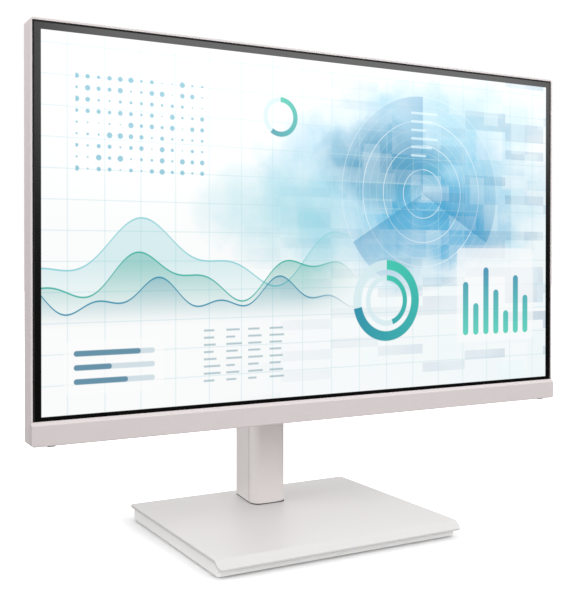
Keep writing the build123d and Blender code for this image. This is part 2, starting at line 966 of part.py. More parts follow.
# appliance inlet: a chamfered well with three flat pins
inlet_wall = 1.8
inlet_well_depth = 17.0
inlet_low = port_z + 0.4
pin_width, pin_thickness, pin_length = 4.0, 2.0, 15.0
with BuildPart() as power_inlet:
    block(
        (inlet_x - inlet_width / 2, inlet_x + inlet_width / 2),
        (board_back_y, board_back_y + inlet_depth),
        (inlet_low, inlet_low + inlet_length),
        datum=picture_z,
    )
    block(
        (inlet_x - inlet_width / 2 + inlet_wall, inlet_x + inlet_width / 2 - inlet_wall),
        (board_back_y + inlet_wall, board_back_y + inlet_depth - inlet_wall),
        (inlet_low, inlet_low + inlet_well_depth),
        Mode.SUBTRACT,
        picture_z,
    )
finish(power_inlet, "power_inlet")

inlet_back = inlet_low + inlet_well_depth
pin_places = [(-7.0, 6.6), (7.0, 6.6), (0.0, 10.6)]
with BuildPart() as inlet_pins:
    for pin_x, pin_y in pin_places:
        block(
            (inlet_x + pin_x - pin_thickness / 2, inlet_x + pin_x + pin_thickness / 2),
            (board_back_y + pin_y - pin_width / 2 + 1.0, board_back_y + pin_y + pin_width / 2 + 1.0),
            (inlet_back - pin_length, inlet_back),
            datum=picture_z,
        )
finish(inlet_pins, "inlet_pins")

# ---------------------------------------------------------------------------------------------
# Controls under the cabinet
# ---------------------------------------------------------------------------------------------
with BuildPart() as button_board:
    block(
        (post_x[0] - 4.0, led_lens_x + 4.0),
        (button_y - 5.0, button_y + 5.0),
        (button_board_bottom, button_board_bottom + 1.2),
        datum=picture_z,
    )
finish(button_board, "button_board")

flange_bottom = wall_top + 0.1
switch_bottom = flange_bottom + button_flange_thickness + button_travel + 0.1
with BuildPart() as button_switches:
    for place in button_places:
        block(
            (place - 3.0, place + 3.0),
            (button_y - 3.0, button_y + 3.0),
            (switch_bottom + 1.2, button_board_bottom),
            datum=picture_z,
        )
        rod_z(
            place,
            button_y,
            (picture_z + switch_bottom, picture_z + switch_bottom + 1.2),
            1.6,
        )
finish(button_switches, "button_switches")


def push_button(centre):
    """A key cap that stands a little below the cabinet, with a flange that stops it falling out."""
    block(
        (centre - button_width / 2, centre + button_width / 2),
        (button_y - button_depth / 2, button_y + button_depth / 2),
        (cabinet_bottom - button_proud, flange_bottom),
        datum=picture_z,
    )
    block(
        (centre - button_width / 2 - button_flange, centre + button_width / 2 + button_flange),
        (button_y - button_depth / 2 - button_flange, button_y + button_depth / 2 + button_flange),
        (flange_bottom, flange_bottom + button_flange_thickness),
        datum=picture_z,
    )


for number in range(4):
    with BuildPart() as menu_button:
        push_button(button_places[number])
        fillet(menu_button.faces().sort_by(Axis.Z)[0].edges(), 0.35)
    finish(menu_button, f"menu_button_{number + 1}")

with BuildPart() as power_button:
    push_button(button_places[4])
    fillet(power_button.faces().sort_by(Axis.Z)[0].edges(), 0.35)
finish(power_button, "power_button")

with BuildPart() as led_lens:
    rod_z(
        led_lens_x,
        button_y,
        (picture_z + cabinet_bottom, picture_z + button_board_bottom),
        led_lens_radius,
    )
finish(led_lens, "led_lens")

# ---------------------------------------------------------------------------------------------
# Quick-release plate and latch
# ---------------------------------------------------------------------------------------------
plate_half = plate_size / 2
with BuildPart() as mount_plate:
    with BuildSketch(rear_plane(recess_y)):
        RectangleRounded(plate_size, plate_size, plate_corner)
    extrude(amount=plate_thickness)
    with BuildSketch(rear_plane(recess_y)):
        Circle(plate_dish_radius)
    extrude(amount=dish_back_y - recess_y)
    with BuildSketch(rear_plane(recess_y)):
        Circle(plate_dish_radius - plate_thickness)
    extrude(amount=plate_dish_depth, mode=Mode.SUBTRACT)
    rod_y(0, 0, (dish_y, dish_back_y), spindle_radius + fit, Mode.SUBTRACT, picture_z)
finish(mount_plate, "mount_plate")

latch_top = -plate_half - 2.0
latch_bottom = latch_top - latch_height
tongue_y = plate_back_y + slip
latch_y = recess_y + slip
with BuildPart() as latch_button:
    block(
        (-latch_width / 2, latch_width / 2),
        (latch_y, latch_y + latch_depth),
        (latch_bottom, latch_top),
        datum=picture_z,
    )
    block(
        (-latch_width / 4, latch_width / 4),
        (tongue_y, tongue_y + tongue_thickness),
        (latch_top, latch_top + tongue_reach),
        datum=picture_z,
    )
    for groove in (-1, 0, 1):
        block(
            (-latch_width / 2, latch_width / 2),
            (latch_y + latch_depth - 0.6, latch_y + latch_depth),
            ((latch_top + latch_bottom) / 2 + groove * 2.5 - 0.5,
             (latch_top + latch_bottom) / 2 + groove * 2.5 + 0.5),
            Mode.SUBTRACT,
            picture_z,
        )
finish(latch_button, "latch_button")

pocket_floor = -recess_size / 2
spring_wire = 0.5
with BuildPart() as latch_spring:
    for side in (-1, 1):
        block(
            (side * 7.0 - 1.5, side * 7.0 + 1.5),
            (latch_y + 1.0, latch_y + 1.0 + spring_wire),
            (pocket_floor, latch_bottom),
            datum=picture_z,
        )
finish(latch_spring, "latch_spring")

# ---------------------------------------------------------------------------------------------
# Pivot spindle and tilt head
# ---------------------------------------------------------------------------------------------
with BuildPart() as pivot_spindle:
    rod_y(0, 0, (dish_y - spindle_head_thickness - slip, dish_y - slip), spindle_head_radius,
          datum=picture_z)
    rod_y(0, 0, (dish_y - slip, head_back_y + pivot_nut_height + 1.0), spindle_radius,
          datum=picture_z)
finish(pivot_spindle, "pivot_spindle")

with BuildPart() as pivot_washer:
    rod_y(0, 0, (dish_back_y, head_front_y), pivot_washer_radius, datum=picture_z)
    rod_y(0, 0, (dish_back_y, head_front_y), spindle_radius + slip, Mode.SUBTRACT, picture_z)
finish(pivot_washer, "pivot_washer")

with BuildPart() as tilt_head:
    with BuildSketch(rear_plane(head_front_y)):
        RectangleRounded(head_plate_size, head_plate_size, plate_corner)
    extrude(amount=head_plate_thickness)
    for side in (-1, 1):
        ear = sorted((side * head_ear_inner, side * head_ear_outer))
        block(ear, (head_back_y, tilt_y), (-head_ear_radius, head_ear_radius), datum=picture_z)
        rod_x(tilt_y, 0, ear, head_ear_radius, datum=picture_z)
        rod_x(tilt_y, 0, ear, tilt_axle_radius + fit, Mode.SUBTRACT, picture_z)
    rod_y(0, 0, (head_front_y, head_back_y), spindle_radius + fit, Mode.SUBTRACT, picture_z)
finish(tilt_head, "tilt_head")

with BuildPart() as pivot_nut:
    with BuildSketch(rear_plane(head_back_y)):
        RegularPolygon(pivot_nut_radius, 6)
        Circle(spindle_radius + fit, mode=Mode.SUBTRACT)
    extrude(amount=pivot_nut_height)
finish(pivot_nut, "pivot_nut")

axle_end = yoke_ear_outer + tilt_nut_width + 1.0
with BuildPart() as tilt_axle:
    rod_x(tilt_y, 0, (-axle_end, axle_end), tilt_axle_radius, datum=picture_z)
finish(tilt_axle, "tilt_axle")

with BuildPart() as tilt_friction_stack:
    for side in (-1, 1):
        for layer in range(2):
            near = head_ear_outer + layer * tilt_washer_thickness
            gap = 0.05  # hair gap so that the washers stay apart as solids
            span = sorted((side * (near + gap), side * (near + tilt_washer_thickness - gap)))
            rod_x(tilt_y, 0, span, tilt_washer_radius, datum=picture_z)
            rod_x(tilt_y, 0, span, tilt_axle_radius + slip, Mode.SUBTRACT, picture_z)
        span = sorted((side * yoke_ear_outer, side * (yoke_ear_outer + tilt_nut_width)))
        rod_x(tilt_y, 0, span, tilt_nut_radius, datum=picture_z)
        rod_x(tilt_y, 0, span, tilt_axle_radius + fit, Mode.SUBTRACT, picture_z)
finish(tilt_friction_stack, "tilt_friction_stack")

# ---------------------------------------------------------------------------------------------
# Carriage that rides up and down inside the column
# ---------------------------------------------------------------------------------------------
cheek_inner = spring_half_width + cheek_gap
cheek_reach = spring_drop + spring_pin_radius + 2.0
with BuildPart() as carriage:
    for side in (-1, 1):
        ear = sorted((side * yoke_ear_inner, side * yoke_ear_outer))
        block(ear, (tilt_y, yoke_back_y), (-yoke_ear_radius, yoke_ear_radius), datum=picture_z)
        rod_x(tilt_y, 0, ear, yoke_ear_radius, datum=picture_z)
        rod_x(tilt_y, 0, ear, tilt_axle_radius + fit, Mode.SUBTRACT, picture_z)
    block(
        (-yoke_ear_outer, yoke_ear_outer),
        (yoke_front_y, yoke_back_y),
        (-yoke_ear_radius, yoke_ear_radius),
        datum=picture_z,
    )
    block(
        (-stem_half_width, stem_half_width),
        (yoke_back_y, carriage_front_y),
        (-stem_half_height, stem_half_height),
        datum=picture_z,
    )
    block(
        (-carriage_half_width, carriage_half_width),
        (carriage_front_y, carriage_back_y),
        (-carriage_height / 2, carriage_height / 2),
        datum=picture_z,
    )
    for side in (-1, 1):
        cheek = sorted((side * cheek_inner, side * carriage_half_width))
        block(
            cheek,
            (spring_y - spring_pin_radius - 1.5, spring_y + spring_pin_radius + 1.5),
            (-cheek_reach, -carriage_height / 2),
            datum=picture_z,
        )
    rod_x(spring_y, -spring_drop, (-cheek_inner, cheek_inner), spring_pin_radius, datum=picture_z)
finish(carriage, "carriage")

arm_inner_x = yoke_ear_outer + arm_cover_gap
arm_inner_z = yoke_ear_radius + arm_cover_gap
arm_front_y = tilt_y + tilt_nut_radius + 1.5
arm_back_y = column_front_y - arm_cover_back_gap
with BuildPart() as arm_cover:
    with BuildSketch(rear_plane(arm_front_y)):
        RectangleRounded(
            2 * (arm_inner_x + arm_cover_wall), 2 * (arm_inner_z + arm_cover_wall), arm_cover_corner
        )
    extrude(amount=arm_back_y - arm_front_y)
    with BuildSketch(rear_plane(arm_front_y)):
        RectangleRounded(2 * arm_inner_x, 2 * arm_inner_z, arm_cover_corner - arm_cover_wall)
    extrude(amount=arm_back_y - arm_cover_wall - arm_front_y, mode=Mode.SUBTRACT)
    block(
        (-stem_half_width - arm_cover_gap, stem_half_width + arm_cover_gap),
        (arm_back_y - arm_cover_wall, arm_back_y),
        (-stem_half_height - arm_cover_gap, stem_half_height + arm_cover_gap),
        Mode.SUBTRACT,
        picture_z,
    )
    fillet(arm_cover.faces().sort_by(Axis.Y)[-1].outer_wire().edges(), arm_cover_wall / 2)
finish(arm_cover, "arm_cover")

pad_height = 14.0
with BuildPart() as slide_pads:
    for side in (-1, 1):
        for level in (-1, 1):
            height = level * (carriage_height - pad_height) / 2
            block(
                sorted((side * carriage_half_width, side * (carriage_half_width + pad_thickness))),
                (carriage_front_y + 1.0, carriage_back_y - 1.0),
                (height - pad_height / 2, height + pad_height / 2),
                datum=picture_z,
            )
finish(slide_pads, "slide_pads")

with BuildPart() as lift_spring:
    span = (-spring_half_width, spring_half_width)
    rod_x(spring_y, -spring_drop, span, spring_radius, datum=picture_z)
    rod_x(spring_y, -spring_drop, span, spring_pin_radius + 0.1, Mode.SUBTRACT, picture_z)
finish(lift_spring, "lift_spring")

band_y = spring_y + spring_radius + slip
with BuildPart() as spring_band:
    block(
        (-band_half_width, band_half_width),
        (band_y, band_y + band_thickness),
        (spring_z, band_top_z),
    )
    block(
        (-band_half_width, band_half_width),
        (band_y, rail_back_y - rail_wall),
        (band_top_z - 2.0, band_top_z),
    )
finish(spring_band, "spring_band")

# ---------------------------------------------------------------------------------------------
# Column: rail, foot and two covers
# ---------------------------------------------------------------------------------------------
with BuildPart() as column_rail:
    block((-rail_half_width, rail_half_width), (rail_front_y, rail_back_y), (foot_top_z, rail_top_z))
    block(
        (-rail_inner, rail_inner),
        (rail_front_y + rail_wall, rail_back_y - rail_wall),
        (foot_top_z, rail_top_z),
        Mode.SUBTRACT,
    )
    block(
        (-rail_half_width + rail_lip, rail_half_width - rail_lip),
        (rail_front_y, rail_front_y + rail_wall),
        (foot_top_z, rail_top_z),
        Mode.SUBTRACT,
    )
    rail_screw_places = [foot_top_z + 9.0, foot_top_z + 22.0]
    for height in rail_screw_places:
        rod_y(0, height, (rail_back_y - rail_wall, rail_back_y), 2.0 + slip, Mode.SUBTRACT)
finish(column_rail, "column_rail")

foot_block_height = 30.0
foot_block_depth = 14.0
with BuildPart() as column_foot:
    block(
        (-rail_half_width, rail_half_width),
        (rail_front_y, rail_back_y),
        (foot_bottom_z, foot_top_z),
    )
    block(
        (-rail_inner + slip, rail_inner - slip),
        (rail_back_y - rail_wall - foot_block_depth, rail_back_y - rail_wall),
        (foot_top_z, foot_top_z + foot_block_height),
    )
    rod_z(0, swivel_y, (swivel_bottom_z, foot_bottom_z), swivel_radius)
    for height in rail_screw_places:
        rod_y(
            0,
            height,
            (rail_back_y - rail_wall - foot_block_depth, rail_back_y - rail_wall),
            2.0 + fit,
            Mode.SUBTRACT,
        )
finish(column_foot, "column_foot")

with BuildPart() as column_screws:
    rail_screw = pan_screw(2.0, 12.0, 3.8, 2.4)
    for height in rail_screw_places:
        with Locations(Plane(origin=(0, rail_back_y, height), z_dir=(0, 1, 0))):
            add(rail_screw)
finish(column_screws, "column_screws")


def column_plan():
    """Outline of the column in plan: a bowed front, and sides that draw in to the back."""
    bow_end = column_front_y + column_bow_depth
    with BuildSketch(Plane.XY.offset(column_bottom_z)) as plan:
        with BuildLine():
            ThreePointArc(
                (-column_bow_half, bow_end), (0, column_front_y), (column_bow_half, bow_end)
            )
            Polyline(
                (column_bow_half, bow_end),
                (column_half_width, column_seam_y),
                (column_back_half_width, column_back_y),
                (-column_back_half_width, column_back_y),
                (-column_half_width, column_seam_y),
                (-column_bow_half, bow_end),
            )
        make_face()
        levels = plan.vertices().group_by(Axis.Y)
        fillet(levels[0], column_front_corner)
        fillet(levels[-1], column_back_corner)
    return plan.sketch


with BuildPart(mode=Mode.PRIVATE) as column_shell:
    outer_plan = column_plan()
    extrude(outer_plan, amount=column_top_z - column_bottom_z)
    inner_plan = offset(outer_plan, amount=-column_wall, mode=Mode.PRIVATE)
    extrude(inner_plan, amount=column_top_z - column_wall - column_bottom_z, mode=Mode.SUBTRACT)

shell_x = (-column_half_width, column_half_width)
shell_z = (column_bottom_z, column_top_z)
slot_bottom = picture_z - lift_down - stem_half_height - slot_clearance
slot_top = picture_z + lift_up + stem_half_height + slot_clearance
rib_levels = (40.0, 150.0, 250.0, 350.0)
rib_height = 4.0
rib_sink = 0.5  # depth to which a rib runs into its cover
rear_rib_lift = 20.0
with BuildPart() as column_front_cover:
    add(column_shell.part)
    block(shell_x, (column_seam_y - seam_gap / 2, column_back_y), shell_z, Mode.SUBTRACT)
    for side in (-1, 1):
        for level in rib_levels:
            block(
                sorted((side * (stem_half_width + 2.5), side * rail_half_width)),
                (column_front_y + column_wall - rib_sink, rail_front_y),
                (level, level + rib_height),
            )
    block(
        (-stem_half_width - slot_clearance, stem_half_width + slot_clearance),
        (column_front_y - 1, rail_front_y),
        (slot_bottom, slot_top),
        Mode.SUBTRACT,
    )
finish(column_front_cover, "column_front_cover")

with BuildPart() as column_rear_cover:
    add(column_shell.part)
    block(shell_x, (column_front_y, column_seam_y + seam_gap / 2), shell_z, Mode.SUBTRACT)
    for level in rib_levels:
        block(
            (-3.0, 3.0),
            (rail_back_y, column_back_y - column_wall + rib_sink),
            (level + rear_rib_lift, level + rear_rib_lift + rib_height),
        )
finish(column_rear_cover, "column_rear_cover")

# ---------------------------------------------------------------------------------------------
# Base
# ---------------------------------------------------------------------------------------------
tip_z = base_top_z - base_bevel_drop
with BuildPart() as base_cover:
    with BuildSketch(Plane.YZ.offset(-base_half_width)):
        with BuildLine():
            Polyline(
                (base_half_depth, base_under_z),
                (base_half_depth, base_top_z),
                (-base_half_depth + base_bevel_run, base_top_z),
                (-base_half_depth, tip_z),
                (-base_half_depth + 0.4, tip_z - base_lip),
                (-base_half_depth + base_bevel_run - 0.6, base_under_z),
                close=True,
            )
        make_face()
    extrude(amount=base_width)
    with BuildSketch(Plane.XY) as base_plan:
        Rectangle(base_width, base_depth)
        fillet(base_plan.vertices().group_by(Axis.Y)[0], base_front_corner)
        fillet(base_plan.vertices().group_by(Axis.Y)[-1], base_back_corner)
    extrude(amount=base_top_z + 1, mode=Mode.INTERSECT)
    top_rim = base_cover.faces().sort_by(Axis.Z)[-1].edges()
    fillet(top_rim, 0.6)
    rod_z(0, swivel_y, (base_under_z - 1, base_top_z + 1), swivel_radius + swivel_hole_clearance,
          Mode.SUBTRACT)
finish(base_cover, "base_cover")

tray_half_x = base_half_width - tray_side_inset
tray_front = -base_half_depth + tray_front_inset
tray_back = base_half_depth - tray_side_inset
tray_front_top = tip_z - base_lip + 0.4
tray_floor_z = foot_height + base_tray_wall
bevel_back = -base_half_depth + base_bevel_run
boss_inset = 26.0
boss_places = [
    (side * (tray_half_x - boss_inset), level)
    for side in (-1, 1)
    for level in (tray_front + 1.3 * boss_inset, tray_back - 0.9 * boss_inset)
]
with BuildPart() as base_tray:
    with BuildSketch(Plane.YZ.offset(-tray_half_x)):
        with BuildLine():
            Polyline(
                (tray_back, foot_height),
                (tray_back, base_under_z),
                (bevel_back + 0.6, base_under_z),
                (bevel_back - 0.6 - 0.2, base_under_z - 0.5),
                (tray_front, tray_front_top),
                (tray_front, foot_height),
                close=True,
            )
        make_face()
    extrude(amount=2 * tray_half_x)
    vertical = base_tray.edges().filter_by(Axis.Z)
    fillet(vertical, tray_corner)
    block(
        (-tray_half_x + base_tray_wall, tray_half_x - base_tray_wall),
        (bevel_back + 2.0, tray_back - base_tray_wall),
        (tray_floor_z, base_under_z + 1),
        Mode.SUBTRACT,
    )
    for boss_x, boss_y in boss_places:
        rod_z(boss_x, boss_y, (tray_floor_z, weight_z), 5.0)
    for boss_x, boss_y in boss_places:
        rod_z(boss_x, boss_y, (foot_height, weight_z), 1.5 + slip, Mode.SUBTRACT)
        rod_z(boss_x, boss_y, (foot_height, foot_height + 2.4), 3.2, Mode.SUBTRACT)
finish(base_tray, "base_tray")

weight_inset = base_tray_wall + weight_gap
with BuildPart() as weight_plate:
    block(
        (-tray_half_x + weight_inset, tray_half_x - weight_inset),
        (bevel_back + 2.0 + weight_gap, tray_back - weight_inset),
        (weight_z, base_under_z),
    )
    rod_z(0, swivel_y, (weight_z, base_under_z), swivel_radius + fit, Mode.SUBTRACT)
    for boss_x, boss_y in boss_places:
        rod_z(boss_x, boss_y, (weight_z, weight_z + 3.5), 1.5 + fit, Mode.SUBTRACT)
finish(weight_plate, "weight_plate")

with BuildPart() as base_screws:
    base_screw = pan_screw(1.5, weight_z + 3.0 - foot_height - 2.4, 2.8, 1.8)
    for boss_x, boss_y in boss_places:
        seat = Plane(origin=(boss_x, boss_y, foot_height + 2.4), x_dir=(1, 0, 0), z_dir=(0, 0, -1))
        with Locations(seat):
            add(base_screw)
finish(base_screws, "base_screws")

foot_strip_length = 150.0
foot_strip_width = 10.0
foot_strip_inset = 14.0
with BuildPart() as rubber_feet:
    for strip_y in (tray_front + foot_strip_inset, tray_back - foot_strip_inset):
        with BuildSketch(Plane.XY):
            with Locations((0, strip_y)):
                SlotOverall(foot_strip_length, foot_strip_width)
        extrude(amount=foot_height)
finish(rubber_feet, "rubber_feet")

with BuildPart() as swivel_washers:
    rod_z(0, swivel_y, (base_top_z, foot_bottom_z), swivel_washer_radius)
    rod_z(0, swivel_y, (weight_z - pivot_washer_thickness, weight_z), swivel_washer_radius)
    rod_z(0, swivel_y, (weight_z - pivot_washer_thickness, foot_bottom_z), swivel_radius + slip,
          Mode.SUBTRACT)
finish(swivel_washers, "swivel_washers")

with BuildPart() as swivel_nut:
    with BuildSketch(Plane.XY.offset(swivel_bottom_z)):
        with Locations((0, swivel_y)):
            RegularPolygon(swivel_nut_radius, 6)
            Circle(swivel_radius + fit, mode=Mode.SUBTRACT)
    extrude(amount=swivel_nut_height)
finish(swivel_nut, "swivel_nut")
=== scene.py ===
"""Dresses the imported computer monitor: finishes, the lit picture, moulded details, light and camera."""

import logging
import math
from collections.abc import Iterable, Sequence
from dataclasses import dataclass, field
from enum import Enum
from functools import cache
from typing import ClassVar

import bmesh
import bpy
from mathutils import Matrix, Vector

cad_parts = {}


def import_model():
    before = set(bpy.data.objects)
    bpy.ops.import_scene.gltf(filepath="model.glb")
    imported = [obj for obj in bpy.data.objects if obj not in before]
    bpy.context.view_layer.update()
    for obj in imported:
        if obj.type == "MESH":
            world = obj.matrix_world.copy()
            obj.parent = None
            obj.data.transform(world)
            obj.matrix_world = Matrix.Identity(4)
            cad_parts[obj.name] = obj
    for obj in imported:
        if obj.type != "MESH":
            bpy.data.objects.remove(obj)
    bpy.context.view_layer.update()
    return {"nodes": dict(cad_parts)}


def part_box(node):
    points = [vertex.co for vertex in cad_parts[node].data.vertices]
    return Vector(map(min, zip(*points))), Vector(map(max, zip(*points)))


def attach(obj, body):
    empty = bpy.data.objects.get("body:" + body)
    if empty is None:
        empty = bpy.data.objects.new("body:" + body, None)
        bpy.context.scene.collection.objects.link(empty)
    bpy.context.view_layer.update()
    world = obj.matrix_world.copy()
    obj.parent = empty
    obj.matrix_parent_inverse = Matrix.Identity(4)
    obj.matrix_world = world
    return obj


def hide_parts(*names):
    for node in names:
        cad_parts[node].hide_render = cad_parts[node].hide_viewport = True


LOG = logging.getLogger("monitor")
MM = 0.001
BMesh = bmesh.types.BMesh
Socket = bpy.types.NodeSocket
Pair = tuple[float, float]
Triple = tuple[float, float, float]
PACKED_GAP = 0.002 * MM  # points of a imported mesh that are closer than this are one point
WELD = 0.001 * MM  # and so are points of a new piece that are closer than this


# --------------------------------------------------------------------------------------------
# Colour and node helpers
# --------------------------------------------------------------------------------------------
def linear(code: str) -> tuple[float, float, float, float]:
    """Turns an sRGB colour into the linear one that shaders take.

    Args:
        code: Colour as "#rrggbb".

    Returns:
        Linear red, green, blue and an alpha of 1.
    """
    parts = [int(code[start : start + 2], 16) / 255 for start in (1, 3, 5)]
    flat = [p / 12.92 if p <= 0.04045 else ((p + 0.055) / 1.055) ** 2.4 for p in parts]
    return flat[0], flat[1], flat[2], 1.0


@dataclass(frozen=True)
class Graph:
    """A node tree, with the one call that adds a node to it."""

    tree: bpy.types.NodeTree

    def add(
        self, kind: str, inputs: dict | Sequence = (), out: str | None = None, **settings: object
    ) -> Socket | None:
        """Adds a node, sets its properties, and fills or links its inputs.

        Args:
            kind: Blender's type name after "ShaderNode", such as "Math".
            inputs: Values by the inputs' names, or in the order of the inputs in use. A value
                is a number, a vector, an sRGB code, or the output that feeds the input.
            out: Name of the output to hand back; the first one in use if it isn't given.
            **settings: Properties of the node itself.

        Returns:
            The output, or nothing for a node without outputs.
        """
        node = self.tree.nodes.new(f"ShaderNode{kind}")
        for key, value in settings.items():
            setattr(node, key, value)
        if isinstance(inputs, dict):
            filled = [(node.inputs[key], value) for key, value in inputs.items()]
        else:
            filled = list(zip((socket for socket in node.inputs if socket.enabled), inputs))
        for socket, value in filled:
            if isinstance(value, Socket):
                self.tree.links.new(value, socket)
            else:
                socket.default_value = linear(value) if isinstance(value, str) else value
        if out:
            return node.outputs[out]
        return next((socket for socket in node.outputs if socket.enabled), None)


def new_material(name: str) -> tuple[bpy.types.Material, Graph]:
    """Starts an empty material.

    Args:
        name: The material's name.

    Returns:
        The material and its nodes.
    """
    material = bpy.data.materials.new(name)
    material.use_nodes = True
    material.node_tree.nodes.clear()
    return material, Graph(material.node_tree)


def outside_box(graph: Graph, place: Socket, middle: Sequence[float], half: Sequence[float]) -> Socket:
    """Measures how far a point lies outside a box.

    Args:
        graph: Nodes that get the measure.
        place: The point.
        middle: Middle of the box.
        half: Half of its sides.

    Returns:
        The distance, which is 0 inside.
    """
    offset = graph.add("VectorMath", (place, middle), operation="SUBTRACT")
    span = graph.add("VectorMath", (offset,), operation="ABSOLUTE")
    beyond = graph.add("VectorMath", (span, half), operation="SUBTRACT")
    outside = graph.add("VectorMath", (beyond, (0.0, 0.0, 0.0)), operation="MAXIMUM")
    return graph.add("VectorMath", (outside,), operation="LENGTH")


# --------------------------------------------------------------------------------------------
# Finishes
# --------------------------------------------------------------------------------------------
class Pattern(Enum):
    """How a surface was made, which sets the shape of its fine relief."""

    SPARKED = "fine even grain from a spark-eroded mould"
    BRUSHED = "long parallel scratches from rolling or brushing"
    SPANGLED = "flat crystals of a dipped zinc coat"
    CAST = "soft lumps from a sand or die casting"
    WOVEN = "crossed threads or glass fibres"


@dataclass(frozen=True)
class Finish:
    """One real material and the way its surface was made, with its sizes in millimetres.

    Attributes:
        name: Material name, in a maker's words.
        colour: Main sRGB colour.
        variation: sRGB colour that the pattern mixes in.
        roughness: Lowest and highest roughness across the pattern.
        pattern: Kind of relief.
        grain: Size of one grain.
        relief: Depth of the relief.
        edge: Radius to which a sharp edge is broken.
        metallic: 1 for bare metal.
        transmission: 1 for a clear material.
        coat: Weight of a clear coat.
        blotch: Size of the broad patches in which the colours mix unevenly.
        stretch: Scale of the brushed scratches along x; 1 would leave them round.
    """

    name: str
    colour: str
    variation: str
    roughness: Pair
    pattern: Pattern = Pattern.SPARKED
    grain: float = 0.8
    relief: float = 0.01
    edge: float = 0.4
    metallic: float = 0.0
    transmission: float = 0.0
    coat: float = 0.0
    blotch: ClassVar[float] = 60.0
    stretch: ClassVar[float] = 0.02

    def height(self, graph: Graph, place: Socket) -> Socket:
        """Makes the pattern.

        Args:
            graph: Nodes that get the pattern.
            place: Position on the object, in metres.

        Returns:
            A value from 0 to 1.
        """
        along = self.stretch if self.pattern is Pattern.BRUSHED else 1.0
        mapped = graph.add("Mapping", {"Vector": place, "Scale": (along, 1.0, 1.0)})
        grains = {"Vector": mapped, "Scale": 1 / (self.grain * MM)}
        if self.pattern is Pattern.SPANGLED:
            crystals = graph.add("TexVoronoi", grains, "Color", feature="F1")
            return graph.add("SeparateColor", (crystals,), "Red")
        if self.pattern is Pattern.WOVEN:
            return graph.add("TexChecker", grains, "Fac")
        detail = 5.0 if self.pattern is Pattern.CAST else 2.0
        return graph.add("TexNoise", grains | {"Detail": detail, "Roughness": 0.55})

    def build(self) -> bpy.types.Material:
        """Makes the Blender material.

        Returns:
            The material, with colour, roughness and bump from one pattern.
        """
        material, graph = new_material(self.name)
        place = graph.add("TexCoord", out="Object")
        height = self.height(graph, place)
        patches = {"Vector": place, "Scale": 1 / (self.blotch * MM), "Detail": 3.0}
        blend = graph.add("Math", (height, graph.add("TexNoise", patches)), operation="MULTIPLY")
        colour = graph.add("Mix", (blend, self.colour, self.variation), data_type="RGBA")
        rough = graph.add("MapRange", (height, 0.0, 1.0, *self.roughness))
        rounded = graph.add("Bevel", {"Radius": self.edge * MM}, samples=4)
        bump = graph.add(
            "Bump",
            {"Height": height, "Distance": self.relief * MM, "Strength": 0.6, "Normal": rounded},
        )
        shader = graph.add(
            "BsdfPrincipled",
            {
                "Base Color": colour,
                "Roughness": rough,
                "Normal": bump,
                "Metallic": self.metallic,
                "Transmission Weight": self.transmission,
                "Coat Weight": self.coat,
                "Coat Roughness": 0.15,
            },
        )
        graph.add("OutputMaterial", {"Surface": shader})
        return material


